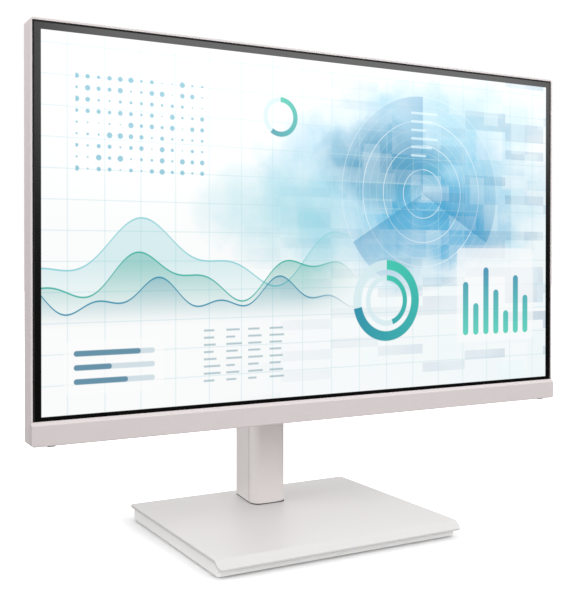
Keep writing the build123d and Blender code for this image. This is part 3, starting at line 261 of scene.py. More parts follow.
Dressing = dict[Finish, tuple[str, ...]]  # each finish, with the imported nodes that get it


# --------------------------------------------------------------------------------------------
# The lit picture
# --------------------------------------------------------------------------------------------
@dataclass
class Canvas:
    """A lit plane in the making, on which nodes mask shapes and lay colours over each other.

    All sizes are in millimetres from the middle of the picture, x to the right and z up.

    Attributes:
        graph: Nodes of its material.
        flat: Position on the plane, as a vector with no depth.
        place: The same position as two values, across and up.
        shade: The colour so far.
    """

    graph: Graph
    flat: Socket
    place: tuple[Socket, ...] = field(init=False)
    shade: Socket | None = field(init=False, default=None)

    def __post_init__(self) -> None:
        """Parts the position into across and up."""
        self.place = tuple(self.graph.add("SeparateXYZ", (self.flat,), axis) for axis in "XZ")

    def below(self, value: Socket, edge: Socket | float, soft: float) -> Socket:
        """Makes a mask that is 1 where a value is less than an edge.

        Args:
            value: The value to test.
            edge: The limit.
            soft: Width over which the mask fades.

        Returns:
            The mask.
        """
        gap = self.graph.add("Math", (edge, value), operation="SUBTRACT")
        ramp = self.graph.add("Math", (gap, soft), operation="DIVIDE")
        return self.graph.add("Math", (ramp, 0.5), operation="ADD", use_clamp=True)

    def near(self, value: Socket, line: Socket | float, half: float, soft: float) -> Socket:
        """Makes a mask that is 1 where a value lies close to a line.

        Args:
            value: The value to test.
            line: The line's own value.
            half: Half of the line's width.
            soft: Width over which the mask fades.

        Returns:
            The mask.
        """
        gap = self.graph.add("Math", (value, line), operation="SUBTRACT")
        return self.below(self.graph.add("Math", (gap,), operation="ABSOLUTE"), half, soft)

    def both(self, first: Socket, second: Socket) -> Socket:
        """Joins two masks into one that shows where both do."""
        return self.graph.add("Math", (first, second), operation="MULTIPLY")

    def pill(self, middle: Pair, half: Pair, radius: float, soft: float = 0.7) -> Socket:
        """Masks a rectangle with round corners.

        Args:
            middle: Middle of the rectangle.
            half: Half of its width and height.
            radius: Corner radius.
            soft: Width of its faded edge.

        Returns:
            The mask, 1 inside.
        """
        core = (half[0] - radius, 0.0, half[1] - radius)
        distance = outside_box(self.graph, self.flat, (middle[0], 0.0, middle[1]), core)
        return self.below(distance, radius, soft)

    def distance(self, middle: Pair) -> Socket:
        """Measures how far a point of the plane is from another."""
        point = (middle[0], 0.0, middle[1])
        return self.graph.add("VectorMath", (self.flat, point), operation="DISTANCE")

    def turned(self, middle: Pair, turn: float = math.tau) -> Socket:
        """Measures the angle round a point, clockwise from straight up.

        Args:
            middle: The point.
            turn: Angle after which the measure starts again.

        Returns:
            The angle as a share of that turn.
        """
        add = self.graph.add
        sides = [add("Math", pair, operation="SUBTRACT") for pair in zip(self.place, middle)]
        angle = add("Math", sides, operation="ARCTAN2")
        return add("Math", (add("Math", (angle, turn), operation="DIVIDE"),), operation="FRACT")

    def cells(self, shift: float, pitches: Pair, seed: float) -> tuple[list[Socket], Socket]:
        """Parts the plane into cells.

        Args:
            shift: Move that keeps all positions above zero.
            pitches: Width and height of a cell.
            seed: Seed of the cells' chances.

        Returns:
            The position within a cell, across and up, and the cell's own chance from 0 to 1.
        """
        add = self.graph.add
        corners, inside = [], []
        for value, pitch in zip(self.place, pitches):
            moved = add("Math", (value, shift), operation="ADD")
            corners.append(add("Math", (moved, pitch), operation="SNAP"))
            inside.append(add("Math", (moved, corners[-1]), operation="SUBTRACT"))
        spot = add("CombineXYZ", (*corners, seed))
        return inside, add("TexWhiteNoise", {"Vector": spot})

    def paint(self, over: Socket | str, mask: Socket, weight: float) -> None:
        """Lays one colour over what is there.

        Args:
            over: Colour on top, linked or as an sRGB code.
            mask: Where it shows.
            weight: How much of it shows there.
        """
        amount = self.graph.add("Math", (mask, weight), operation="MULTIPLY")
        self.shade = self.graph.add("Mix", (amount, self.shade, over), data_type="RGBA")


@dataclass
class OfficeCharts(Canvas):
    """A plain design of office charts: a pale ground with a cloud, dials, waves, bars and dots.

    Attributes:
        clouds: Middle, reach, colour and weight of each blot that the cloud is made of.
        veils: Block size, seed, share left out, colour and weight of each layer of blocks.
        rules: Pitch and start of the fine lines, across and up.
        dial: Middle of the pale circles.
        dial_reach: Radius of the outermost circle.
        dial_rings: Pitch, half width and weight of the coarse and the fine circles.
        hills: Waves of height, rate and start, then level, foot, colour and weight of each area.
        gauges: Middle, radius, band width and filled share of each ring gauge.
        cards: Middle and half size of the white cards.
        bars: Heights of the columns.
        progress: Filled shares of the progress bars.
    """

    clouds: ClassVar[tuple] = (
        ((96.0, 40.0), (176.0, 98.0), "#3fc0e6", 0.95),
        ((62.0, 60.0), (76.0, 46.0), "#1487ae", 0.9),
        ((132.0, 8.0), (88.0, 46.0), "#1ba3d6", 0.85),
        ((-48.0, 14.0), (86.0, 52.0), "#9fdde8", 0.75),
        ((158.0, 112.0), (112.0, 34.0), "#9ddaec", 0.6),
    )
    veils: ClassVar[tuple] = (
        ((34.0, 14.0), 2.0, 0.7, "#ffffff", 0.4),
        ((52.0, 9.0), 7.0, 0.72, "#1b86b4", 0.34),
        ((18.0, 26.0), 11.0, 0.78, "#e9fbff", 0.45),
    )
    rules: ClassVar[tuple] = ((30.5, 9.0), (24.0, 5.0))
    dial: ClassVar[Pair] = (104.0, 34.0)
    dial_reach: ClassVar[float] = 92.0
    dial_rings: ClassVar[tuple] = ((23.0, 0.35, 0.7), (7.6667, 0.16, 0.35))
    hills: ClassVar[tuple] = (
        (((21.0, 0.030, 0.6), (9.0, 0.071, 2.0)), -24.0, -74.0, "#8ad3da", 0.4),
        (((15.0, 0.041, 2.4), (7.0, 0.093, 0.2)), -42.0, -78.0, "#2bb3a4", 0.5),
        (((10.0, 0.052, 4.1), (6.0, 0.113, 1.4)), -58.0, -82.0, "#1f8fae", 0.42),
    )
    gauges: ClassVar[tuple] = (
        ((62.0, -66.0), 33.0, 9.0, 0.72),
        ((62.0, -66.0), 21.0, 5.0, 0.45),
        ((-52.0, 96.0), 15.0, 4.5, 0.6),
    )
    cards: ClassVar[tuple] = (((196.0, -63.0), (50.0, 46.0)), ((-204.0, -112.0), (42.0, 21.0)))
    bars: ClassVar[tuple[float, ...]] = (52.0, 31.0, 66.0, 44.0, 23.0, 58.0, 38.0)
    progress: ClassVar[tuple[float, ...]] = (0.82, 0.46, 0.66)

    def draw_ground(self) -> None:
        """Paints the pale ground and the blue cloud, whose rim is torn by noise."""
        add = self.graph.add
        left, right = -150.0, 270.0
        tear, rim, fade, apart = 1.5, 1.15, 1.3, 3.1
        drift = add("MapRange", (self.place[0], left, right), clamp=False)
        self.shade = add("Mix", (drift, "#fdfefe", "#f3fafc"), data_type="RGBA")
        for number, (middle, reach, colour, weight) in enumerate(self.clouds):
            noise = {"Scale": 0.022, "Detail": 5.0, "Roughness": 0.6, "W": apart * number}
            wisps = add("TexNoise", noise | {"Vector": self.flat}, noise_dimensions="4D")
            centre, radii = (middle[0], 0.0, middle[1]), (reach[0], 1.0, reach[1])
            offset = add("VectorMath", (self.flat, centre), operation="SUBTRACT")
            spread = add("VectorMath", (offset, radii), operation="DIVIDE")
            fall = add("VectorMath", (spread, spread), operation="DOT_PRODUCT")
            torn = add("Math", (wisps, tear, fall), operation="MULTIPLY_ADD")
            self.paint(colour, self.below(torn, rim, fade), weight)

    def draw_blocks(self) -> None:
        """Paints soft blocks, which show to the right, and fine rules over all."""
        add = self.graph.add
        left, right = -120.0, 140.0
        shift, half_line, fade, faint = 600.0, 0.42, 0.5, 0.42
        shown = add("MapRange", (self.place[0], left, right), clamp=False)
        haze = add("TexNoise", {"Vector": self.flat, "Scale": 0.016, "Detail": 1.0})
        held = add("Math", (shown, haze), operation="MULTIPLY", use_clamp=True)
        for size, seed, cut, colour, weight in self.veils:
            corner = add("VectorMath", (self.flat, (size[0], 1.0, size[1])), operation="SNAP")
            chance = add("TexWhiteNoise", {"Vector": corner, "W": seed}, noise_dimensions="4D")
            picked = add("Math", (chance, cut), operation="GREATER_THAN")
            self.paint(colour, self.both(picked, held), weight)
        for value, (pitch, start) in zip(self.place, self.rules):
            moved = add("Math", (value, shift + start), operation="ADD")
            folded = add("Math", (moved, pitch / 2), operation="PINGPONG")
            self.paint("#b9dde4", self.below(folded, half_line, fade), faint)

    def draw_dial(self) -> None:
        """Paints thin pale circles round one point of the cloud, and three faint fans."""
        add = self.graph.add
        fans, falloff = 3, 3.0
        distance = self.distance(self.dial)
        inside = self.below(distance, self.dial_reach, 1.0)
        for pitch, half_line, weight in self.dial_rings:
            folded = add("Math", (distance, pitch / 2), operation="PINGPONG")
            self.paint("#eefbff", self.both(self.below(folded, half_line, 0.5), inside), weight)
        turned = self.turned(self.dial, math.tau / fans)
        sweep = add("Math", (turned, falloff), operation="POWER")
        self.paint("#0f93c4", self.both(sweep, inside), 0.5)

    def draw_hills(self) -> None:
        """Paints stacked wave areas, each with a bright crest, which fade to the right."""
        add = self.graph.add
        across, up = self.place
        depth, end, fade = 46.0, 4.0, 60.0
        left = self.below(across, end, fade)
        for waves, level, foot, colour, weight in self.hills:
            crest: Socket | float = level
            for height, rate, start in waves:
                angle = add("Math", (across, rate, start), operation="MULTIPLY_ADD")
                wave = add("Math", (angle,), operation="SINE")
                crest = add("Math", (wave, height, crest), operation="MULTIPLY_ADD")
            rise = add("MapRange", (up, foot, foot + depth), clamp=False)
            under = (rise, self.below(up, crest, 0.8))
            faded = add("Math", under, operation="MULTIPLY", use_clamp=True)
            self.paint(colour, self.both(faded, left), weight)
            self.paint(colour, self.both(self.near(up, crest, 0.65, 0.6), left), 0.95)

    def draw_table(self) -> None:
        """Paints rows of short dashes of changing length, as plain table entries."""
        shortest, middle_of_row = 8.0, 3.0
        (across, up), chance = self.cells(840.0, (21.0, 6.0), 5.0)
        length = self.graph.add("Math", (chance, shortest, shortest), operation="MULTIPLY_ADD")
        dash = self.both(self.below(across, length, 0.6), self.near(up, middle_of_row, 0.85, 0.6))
        table = self.pill((-84.0, -108.0), (42.0, 24.0), 1.0)
        self.paint("#6f9fae", self.both(dash, table), 0.6)

    def draw_dots(self) -> None:
        """Paints a matrix of round dots of changing size, as a plain data field."""
        add = self.graph.add
        pitch, smallest, growth = 9.0, 0.5, 1.9
        (across, up), chance = self.cells(600.0, (pitch, pitch), 0.0)
        spot = add("CombineXYZ", (across, 0.0, up))
        middle = (pitch / 2, 0.0, pitch / 2)
        distance = add("VectorMath", (spot, middle), operation="DISTANCE")
        size = add("Math", (chance, growth, smallest), operation="MULTIPLY_ADD")
        matrix = self.pill((-178.5, 78.0), (58.0, 40.0), 1.0)
        self.paint("#3fb0c9", self.both(self.below(distance, size, 0.7), matrix), 0.75)

    def draw_cards(self) -> None:
        """Paints plain white cards with round corners."""
        for middle, half in self.cards:
            self.paint("#ffffff", self.pill(middle, half, 5.0, 1.2), 0.6)

    def draw_bars(self) -> None:
        """Paints slim columns, which turn from green to blue as they rise."""
        foot, top, first, pitch, half_bar = -102.0, -20.0, 157.0, 13.0, 3.4
        climb = self.graph.add("MapRange", (self.place[1], foot - 2.0, top), clamp=False)
        fresh = self.graph.add("Mix", (climb, "#46d3bb", "#1272b0"), data_type="RGBA")
        for number, tall in enumerate(self.bars):
            middle = (first + pitch * number, foot + tall / 2)
            self.paint(fresh, self.pill(middle, (half_bar, tall / 2), half_bar), 0.92)

    def draw_progress(self) -> None:
        """Paints progress bars, each filled from the left."""
        centre, first, pitch, full, thin = -204.0, -101.0, 11.0, 34.0, 2.2
        for number, share in enumerate(self.progress):
            level = first - pitch * number
            self.paint("#cfdfe6", self.pill((centre, level), (full, thin), thin), 0.9)
            filled = (centre - full * (1.0 - share), level)
            self.paint("#3b7f9c", self.pill(filled, (full * share, thin), thin), 0.85)

    def draw_list(self) -> None:
        """Paints six pale lines of changing length over the cloud."""
        start, first, pitch, longest, fine = 90.0, 110.0, 8.0, 16.0, 1.1
        for number in range(6):
            reach = longest - 3.5 * (number % 3)
            line = self.pill((start + reach, first - pitch * number), (reach, fine), fine)
            self.paint("#e8fbff", line, 0.6)

    def draw_gauges(self) -> None:
        """Paints ring gauges, each filled for a share of its turn."""
        for middle, radius, width, share in self.gauges:
            band = self.near(self.distance(middle), radius, width / 2, 0.8)
            self.paint("#d8eef2", band, 0.85)
            turn = self.turned(middle)
            filled = self.graph.add("Math", (turn, share), operation="LESS_THAN")
            blend = self.graph.add("Mix", (turn, "#38c9b0", "#0f6fa8"), data_type="RGBA")
            self.paint(blend, self.both(band, filled), 0.97)

    def draw(self) -> None:
        """Paints the whole design, from the ground up."""
        self.draw_ground()
        self.draw_blocks()
        self.draw_dial()
        self.draw_hills()
        self.draw_table()
        self.draw_dots()
        self.draw_cards()
        self.draw_bars()
        self.draw_progress()
        self.draw_list()
        self.draw_gauges()


@dataclass(frozen=True)
class LitPicture:
    """Anti-glare glass with a printed border, and the picture that the backlight shows through it.

    Sizes are in millimetres, except for the place of the middle.

    Attributes:
        centre: Middle of the picture in the object's frame, in metres.
        half: Half of the picture's width and height.
        strength: Light given by a white part of the picture.
        corner: Radius of the picture's corners, and the width over which its edge fades.
        film: How far the anti-glare film reaches past the picture.
        film_corner: Radius and fade of the film's corners.
        haze: Lowest and highest roughness of the film.
        bare: Roughness of the printed rim outside the film.
        grain: Size of the film's grain, drawn coarser than the real one so that it shows.
        front: The normal's y below which a face looks to the viewer.
    """

    centre: Triple
    half: Pair
    strength: float = 0.97
    corner: Pair = (0.2, 0.4)
    film: float = 5.3
    film_corner: Pair = (0.4, 0.3)
    haze: Pair = (0.17, 0.25)
    bare: float = 0.85
    grain: float = 0.35
    front: float = -0.5

    def build(self) -> bpy.types.Material:
        """Makes the material of the glass: a lit picture within a printed black border.

        Returns:
            The material.
        """
        material, graph = new_material("Anti-glare glass over a lit liquid-crystal picture")
        here = graph.add("TexCoord", out="Object")
        offset = graph.add("VectorMath", (here, self.centre), operation="SUBTRACT")
        flat = graph.add("VectorMath", (offset, (1 / MM, 0.0, 1 / MM)), operation="MULTIPLY")
        picture = OfficeCharts(graph, flat)
        picture.draw()
        facing = graph.add("SeparateXYZ", (graph.add("NewGeometry", out="Normal"),), "Y")
        ahead = graph.add("Math", (facing, self.front), operation="LESS_THAN")
        lit = picture.both(picture.pill((0.0, 0.0), self.half, *self.corner), ahead)
        glow = graph.add("Math", (lit, self.strength), operation="MULTIPLY")
        grains = {"Vector": here, "Scale": 1 / (self.grain * MM), "Detail": 1.0}
        grain = graph.add("TexNoise", grains)
        ink = graph.add("Mix", (grain, "#030303", "#080707"), data_type="RGBA")
        hazy = graph.add("MapRange", (grain, 0.0, 1.0, *self.haze))
        half = (self.half[0] + self.film, self.half[1] + self.film)
        filmed = picture.pill((0.0, 0.0), half, *self.film_corner)
        gloss = graph.add("Mix", (filmed, self.bare, hazy))
        shader = graph.add(
            "BsdfPrincipled",
            {
                "Base Color": ink,
                "Roughness": gloss,
                "IOR": 1.5,
                "Emission Color": picture.shade,
                "Emission Strength": glow,
            },
        )
        graph.add("OutputMaterial", {"Surface": shader})
        return material


# --------------------------------------------------------------------------------------------
# Finishes of this monitor
# --------------------------------------------------------------------------------------------
# Real grains and threads of 0.1 to 0.4 mm wouldn't show at this object's size, so the patterns
# of moulded, coated and woven surfaces are drawn coarser than the real ones.

# The white ABS finishes stand for one plastic; their colours differ to even out the light on each part:
# painted light and shade.
# Moulded ABS: a spark-eroded tool leaves an even grain, so highlights are broad and soft.
CABINET_ABS = Finish(
    "Spark-textured white ABS", "#dbd2d2", "#d4caca", (0.42, 0.58), grain=0.9, relief=0.012
)
# The chin's tool is finer, so it looks smoother; its colour is a little greyer than the cabinet's,
# painted shade that offsets the strong light on it.
CHIN_ABS = Finish("Satin white ABS chin", "#d6cdcd", "#d0c6c6", (0.38, 0.5), grain=0.7, relief=0.008)
# The column's covers have the same fine satin; their colour is whiter than the cabinet's, painted light
# that lifts them in the shade below the display.
COLUMN_ABS = Finish(
    "Satin white ABS column cover", "#ebe5e3", "#e5dfdd", (0.36, 0.5), grain=0.7, relief=0.008
)
# The tray has the cabinet's grain; its colour is the whitest of the white mouldings, painted light that
# lifts it in the shade under the cover's rim.
TRAY_ABS = Finish(
    "Moulded white ABS tray", "#f6f5f4", "#efeeed", (0.42, 0.56), grain=0.9, relief=0.012
)
# Powder coat on sheet steel: a faint orange peel under a satin skin that rounds the edges.
BASE_COAT = Finish(
    "Satin powder coat on steel",
    "#d8d6d5",
    "#d2d0cf",
    (0.34, 0.46),
    Pattern.CAST,
    grain=1.6,
    relief=0.02,
    edge=0.7,
)
# Moulded polycarbonate: an even matt black that keeps stray light behind the glass.
MATT_BLACK = Finish("Matt black polycarbonate", "#17171a", "#222226", (0.5, 0.66), relief=0.015)
# Dipped zinc: flat crystals, each a little lighter and duller or darker and glossier.
ZINC_SHEET = Finish(
    "Hot-dipped zinc sheet",
    "#a9adb0",
    "#c3c7c9",
    (0.28, 0.46),
    Pattern.SPANGLED,
    grain=9.0,
    metallic=1.0,
)
# Dipped paint: a thin, even black film with a dull sheen.
BLACK_ECOAT = Finish("Black e-coat on steel", "#1d1d1f", "#29292c", (0.38, 0.5), grain=1.2)
# Bright nickel over turned or pressed steel: sharp highlights, drawn out along x.
NICKEL = Finish(
    "Bright nickel plate",
    "#c9cbcc",
    "#b9bbbd",
    (0.14, 0.26),
    Pattern.BRUSHED,
    grain=0.5,
    relief=0.004,
    metallic=1.0,
)
# Cold-rolled strip: bluish grey with fine rolling lines.
SPRING_STRIP = Finish(
    "Rolled spring steel",
    "#8b9098",
    "#70757e",
    (0.22, 0.36),
    Pattern.BRUSHED,
    grain=0.4,
    relief=0.004,
    metallic=1.0,
)
# Sand casting under black paint: soft lumps and broadly rounded edges.
CAST_HEAD = Finish(
    "Black-coated iron casting",
    "#26272a",
    "#34363a",
    (0.5, 0.7),
    Pattern.CAST,
    grain=2.2,
    relief=0.06,
    edge=0.8,
)
# Die casting blasted with beads: an even grey metal with blurred reflections.
DIE_CAST = Finish(
    "Bead-blasted die casting",
    "#8c8f92",
    "#7b7e82",
    (0.4, 0.58),
    Pattern.CAST,
    grain=1.2,
    relief=0.03,
    metallic=1.0,
)
# Cut acetal: waxy off-white with faint tool lines.
ACETAL = Finish("Machined natural acetal", "#e9e8e0", "#dfded5", (0.26, 0.38), Pattern.BRUSHED)
# Lacquered board: the weave shows through a thin green gloss.
SOLDER_MASK = Finish(
    "Green solder mask over glass fibre",
    "#0d4427",
    "#156038",
    (0.28, 0.42),
    Pattern.WOVEN,
    grain=1.1,
    relief=0.006,
    coat=0.4,
)
# Moulded epoxy: dark grey and dry-looking.
CHIP_EPOXY = Finish("Moulded black epoxy", "#161618", "#232326", (0.4, 0.55), grain=0.5)
# Sleeve shrunk on a capacitor: smooth dark blue with a soft gloss.
SLEEVE = Finish("Shrunk dark blue sleeve", "#1c2038", "#272c4a", (0.22, 0.34), grain=1.4)
# Die-cut rubber: black and rough enough to lose its highlights.
RUBBER = Finish("Die-cut black rubber", "#1b1b1c", "#262627", (0.7, 0.86), grain=0.6, relief=0.03)
# Pressed fibre: brown, dusty and softly lumpy.
FRICTION_FIBRE = Finish("Pressed friction fibre", "#463e36", "#5a5047", (0.7, 0.85), Pattern.CAST)
# Cast acrylic: almost clear, with a polished skin.
ACRYLIC = Finish(
    "Clear cast acrylic", "#eef6f7", "#e2f0f2", (0.04, 0.09), grain=6.0, transmission=0.9
)
# Diffusing film: milky, with no sharp highlight.
DIFFUSER = Finish("Milky diffusing film", "#f1f4f5", "#e6ebed", (0.5, 0.62), grain=0.5)
# Foamed foil: a flat bright white.
FOIL = Finish("White reflecting foil", "#f7f7f5", "#efefed", (0.55, 0.7), grain=0.5)
# Resin filled with phosphor: the yellow caps of white light packages.
PHOSPHOR = Finish("Phosphor-filled resin", "#f1e39a", "#e9d67f", (0.35, 0.5), grain=0.4)
# Moulded light pipe: clear with a faint haze.
LIGHT_PIPE = Finish(
    "Clear polycarbonate light pipe", "#dfe7ea", "#d3dde1", (0.1, 0.2), grain=1.0, transmission=0.6
)
# Die-cut black foam in the gap round the glass: painted shade, which makes that gap read as a black line.
FOAM = Finish("Die-cut black foam", "#0c0c0d", "#161617", (0.85, 0.95), grain=0.35, relief=0.03)
# Denser black foam in the column's joints: painted shade for those joints, a little less black than the
# strip at the glass.
SEAM_SHADE_FOAM = Finish("Black seam foam", "#0f0e0e", "#1a1919", (0.8, 0.92), grain=0.35, relief=0.02)
# Woven net: crossed threads that look like dark cloth behind the vents, painted shade for the inside of
# the vents.
NET = Finish(
    "Black woven polyester net", "#131315", "#2a2a2d", (0.7, 0.85), Pattern.WOVEN, grain=0.9
)
# Glass-filled nylon: a hard dark grey with a dull shine.
SOCKET_NYLON = Finish("Black glass-filled nylon", "#151517", "#1f1f22", (0.4, 0.55), grain=0.5)
# Gold flash: a warm thin gleam along each contact.
GOLD = Finish(
    "Gold flash over nickel",
    "#d9a441",
    "#c8953a",
    (0.2, 0.3),
    Pattern.BRUSHED,
    grain=0.3,
    relief=0.002,
    metallic=1.0,
)


# --------------------------------------------------------------------------------------------
# Mesh helpers
# --------------------------------------------------------------------------------------------
@cache
def material_of(finish: Finish) -> bpy.types.Material:
    """Builds a finish once and hands out the same material after that."""
    return finish.build()


def dress(item: bpy.types.Object, material: bpy.types.Material) -> None:
    """Gives every material slot of an object one material, and reports it.

    Args:
        item: Object to dress.
        material: Its new material.
    """
    if not item.material_slots:
        item.data.materials.append(material)
    for slot in item.material_slots:
        slot.material = material
    LOG.info("%s: %s", item.name, material.name)


def solids(node: bpy.types.Object) -> list[tuple[Vector, Vector]]:
    """Measures each separate solid of a node.

    Args:
        node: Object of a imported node.

    Returns:
        Lowest and highest corner of each solid, ordered along x and then y.
    """
    shape = bmesh.new()
    shape.from_mesh(node.data)
    bmesh.ops.remove_doubles(shape, verts=shape.verts, dist=PACKED_GAP)
    waiting = set(shape.verts)
    found = []
    while waiting:
        reached = {waiting.pop()}
        rim = set(reached)
        while rim:
            rim = {edge.other_vert(vert) for vert in rim for edge in vert.link_edges} - reached
            reached |= rim
        waiting -= reached
        corners = [[vert.co[axis] for vert in reached] for axis in range(3)]
        found.append((Vector(map(min, corners)), Vector(map(max, corners))))
    shape.free()
    return sorted(found, key=lambda pair: (round(pair[0].x, 4), pair[0].y))


def add_sheet(shape: BMesh, columns: int, size: Pair, place: Matrix) -> None:
    """Adds a flat sheet of faces.

    Args:
        shape: Mesh that gets the sheet.
        columns: Faces along its length.
        size: Its length and depth.
        place: Turn and move that take it from the middle of the frame to its place.
    """
    sized = Matrix.Diagonal((*size, 1.0, 1.0))
    bmesh.ops.create_grid(shape, x_segments=columns, y_segments=1, size=0.5, matrix=place @ sized)


def add_block(shape: BMesh, low: Vector, high: Vector) -> list[bmesh.types.BMVert]:
    """Adds a block between two corners.

    Args:
        shape: Mesh that gets the block.
        low: Its lowest corner.
        high: Its highest corner.

    Returns:
        The block's corner points.
    """
    made = bmesh.ops.create_cube(shape, size=1.0)["verts"]
    bmesh.ops.scale(shape, verts=made, vec=high - low)
    bmesh.ops.translate(shape, verts=made, vec=(low + high) / 2)
    return made


def edges_along(verts: Iterable[bmesh.types.BMVert], axis: int) -> list[bmesh.types.BMEdge]:
    """Picks the edges among some points that run along one axis.

    Args:
        verts: The points.
        axis: 0, 1 or 2 for x, y or z.

    Returns:
        The edges with both ends among the points.
    """
    inside, aligned = set(verts), 0.99
    edges = {edge for vert in inside for edge in vert.link_edges if edge.other_vert(vert) in inside}
    return [
        edge
        for edge in edges
        if abs((edge.verts[0].co - edge.verts[1].co).normalized()[axis]) > aligned
    ]


def round_off(
    shape: BMesh, geom: list, radius: float, segments: int = 3, affect: str = "EDGES"
) -> None:
    """Rounds edges or corners off.

    Args:
        shape: Mesh that holds them.
        geom: The edges or the corner points.
        radius: Radius of the round.
        segments: Flats that make the round.
        affect: EDGES, or VERTICES for the corners of a flat face.
    """
    bmesh.ops.bevel(
        shape,
        geom=geom,
        offset=radius,
        offset_type="OFFSET",
        affect=affect,
        segments=segments,
        profile=0.5,
        material=-1,
    )


def extrude(shape: BMesh, way: Triple) -> None:
    """Gives all faces of a sheet a thickness.

    Args:
        shape: Mesh of the sheet.
        way: Direction and length of the extrusion.
    """
    grown = bmesh.ops.extrude_face_region(shape, geom=list(shape.faces))["geom"]
    moved = [item for item in grown if isinstance(item, bmesh.types.BMVert)]
    bmesh.ops.translate(shape, verts=moved, vec=way)


# --------------------------------------------------------------------------------------------
# Sub-assemblies
# --------------------------------------------------------------------------------------------
@dataclass
class SubAssembly:
    """A group of parts that is put together before it joins the monitor.

    Attributes:
        nodes: The frame's objects by name.
        finishes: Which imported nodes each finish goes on.
    """

    nodes: dict[str, bpy.types.Object]
    finishes: ClassVar[Dressing] = {}

    def keep(
        self,
        name: str,
        shape: BMesh,
        body: str,
        slot: str,
        finish: Finish,
        replaced: tuple[str, ...] = (),
    ) -> None:
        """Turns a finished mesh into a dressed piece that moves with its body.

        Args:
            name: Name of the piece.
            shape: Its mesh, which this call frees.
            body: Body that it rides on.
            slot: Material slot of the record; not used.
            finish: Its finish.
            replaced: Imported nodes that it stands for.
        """
        bmesh.ops.remove_doubles(shape, verts=shape.verts, dist=WELD)
        bmesh.ops.recalc_face_normals(shape, faces=shape.faces)
        data = bpy.data.meshes.new(name)
        shape.to_mesh(data)
        shape.free()
        piece = bpy.data.objects.new(name, data)
        bpy.context.collection.objects.link(piece)
        dress(piece, material_of(finish))
        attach(piece, body)
        if replaced:
            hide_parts(*replaced)
        LOG.info("%s: %d faces on %s", name, len(data.polygons), body)

    def build(self) -> None:
        """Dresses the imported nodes; a group with new pieces adds them after this."""
        for finish, names in self.finishes.items():
            for name in names:
                dress(self.nodes[name], material_of(finish))


@dataclass
class Panel(SubAssembly):
    """Liquid-crystal cell, its backlight and the black foam strip round the glass, painted shade for the
    gap there.

    Attributes:
        picture_margin: Black border above the picture.
        picture_size: Width and height of the picture, in millimetres.
        strip_width: Width of the strip of painted shade, a little less than the gap it fills.
        strip_sink: How far the strip lies behind the glass.
        strip_depth: Its depth.
    """

    picture_margin: float = 6.5 * MM
    picture_size: Pair = (527.04, 296.46)
    strip_width: float = 0.26 * MM
    strip_sink: float = 0.35 * MM
    strip_depth: float = 1.0 * MM
    finishes: ClassVar[Dressing] = {
        MATT_BLACK: ("panel_midframe",),
        ZINC_SHEET: ("backlight_tray",),
        DIE_CAST: ("led_bar",),
        ACRYLIC: ("light_guide_plate",),
        DIFFUSER: ("optical_films",),
        FOIL: ("reflector_sheet",),
        PHOSPHOR: ("led_packages",),
    }

    def light_picture(self) -> None:
        """Puts the lit picture on the cell, below its upper border."""
        half = (self.picture_size[0] / 2, self.picture_size[1] / 2)
        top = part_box("lcd_cell")[1].z - self.picture_margin
        dress(self.nodes["lcd_cell"], LitPicture((0.0, 0.0, top - half[1] * MM), half).build())

    def lay_strip(self) -> None:
        """Makes the black foam strip that closes the gap between glass and cabinet, painted shade for
        that gap.
        """
        low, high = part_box("lcd_cell")
        middle, span = (low + high) / 2, high - low
        size = (span.x + 2 * self.strip_width, span.z + 2 * self.strip_width)
        place = Matrix.Translation((middle.x, low.y + self.strip_sink, middle.z))
        shape = bmesh.new()
        add_sheet(shape, 1, size, place @ Matrix.Rotation(math.pi / 2, 4, "X"))
        inner = list(shape.faces)
        bmesh.ops.inset_individual(shape, faces=inner, thickness=self.strip_width)
        bmesh.ops.delete(shape, geom=inner, context="FACES_ONLY")
        extrude(shape, (0.0, self.strip_depth, 0.0))
        self.keep("glass_edge_shade_strip", shape, "display", "rubber_foot", FOAM)

    def build(self) -> None:
        """Dresses the panel, lights the picture and lays the strip."""
        super().build()
        self.light_picture()
        self.lay_strip()


@dataclass
class Cabinet(SubAssembly):
    """White cabinet, chin, rear cover and the dark net behind its vents, painted shade for their inside.

    Attributes:
        net_length: Length of the net.
        net_depth: Depth of the net from front to back.
        net_drop: How far the net's front edge lies below the housing's highest line.
        net_gap: How far that edge lies behind the chassis.
        net_slope: Slope of the housing's upper wall, in degrees.
        net_thickness: Thickness of the net.
        net_columns: Faces along the net.
        housing_top: Highest line of the housing above the middle of the screws' pattern.
    """

    net_length: float = 292.0 * MM
    net_depth: float = 19.0 * MM
    net_drop: float = 5.0 * MM
    net_gap: float = 2.5 * MM
    net_slope: float = 25.0
    net_thickness: float = 0.5 * MM
    net_columns: int = 8
    housing_top: float = 115.0 * MM
    finishes: ClassVar[Dressing] = {
        CABINET_ABS: ("cabinet_frame", "rear_cover"),
        CHIN_ABS: ("lower_bezel",),
        RUBBER: ("landing_pads",),
        BLACK_ECOAT: ("rear_cover_screws",),
    }

    def hang_net(self) -> None:
        """Makes the net that shows as dark cloth behind the vents, painted shade for their inside."""
        posts_low, posts_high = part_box("vesa_posts")
        top = (posts_low.z + posts_high.z) / 2 + self.housing_top - self.net_drop
        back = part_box("chassis_plate")[1].y + self.net_gap
        sloped = Matrix.Rotation(-math.radians(self.net_slope), 4, "X")
        hinged = Matrix.Translation((0.0, self.net_depth / 2, 0.0))
        place = Matrix.Translation((0.0, back, top)) @ sloped @ hinged
        shape = bmesh.new()
        add_sheet(shape, self.net_columns, (self.net_length, self.net_depth), place)
        bmesh.ops.solidify(shape, geom=list(shape.faces), thickness=self.net_thickness)
        self.keep("vent_shade_net", shape, "display", "dark_plastic", NET)

    def build(self) -> None:
        """Dresses the cabinet and hangs the net."""
        super().build()
        self.hang_net()


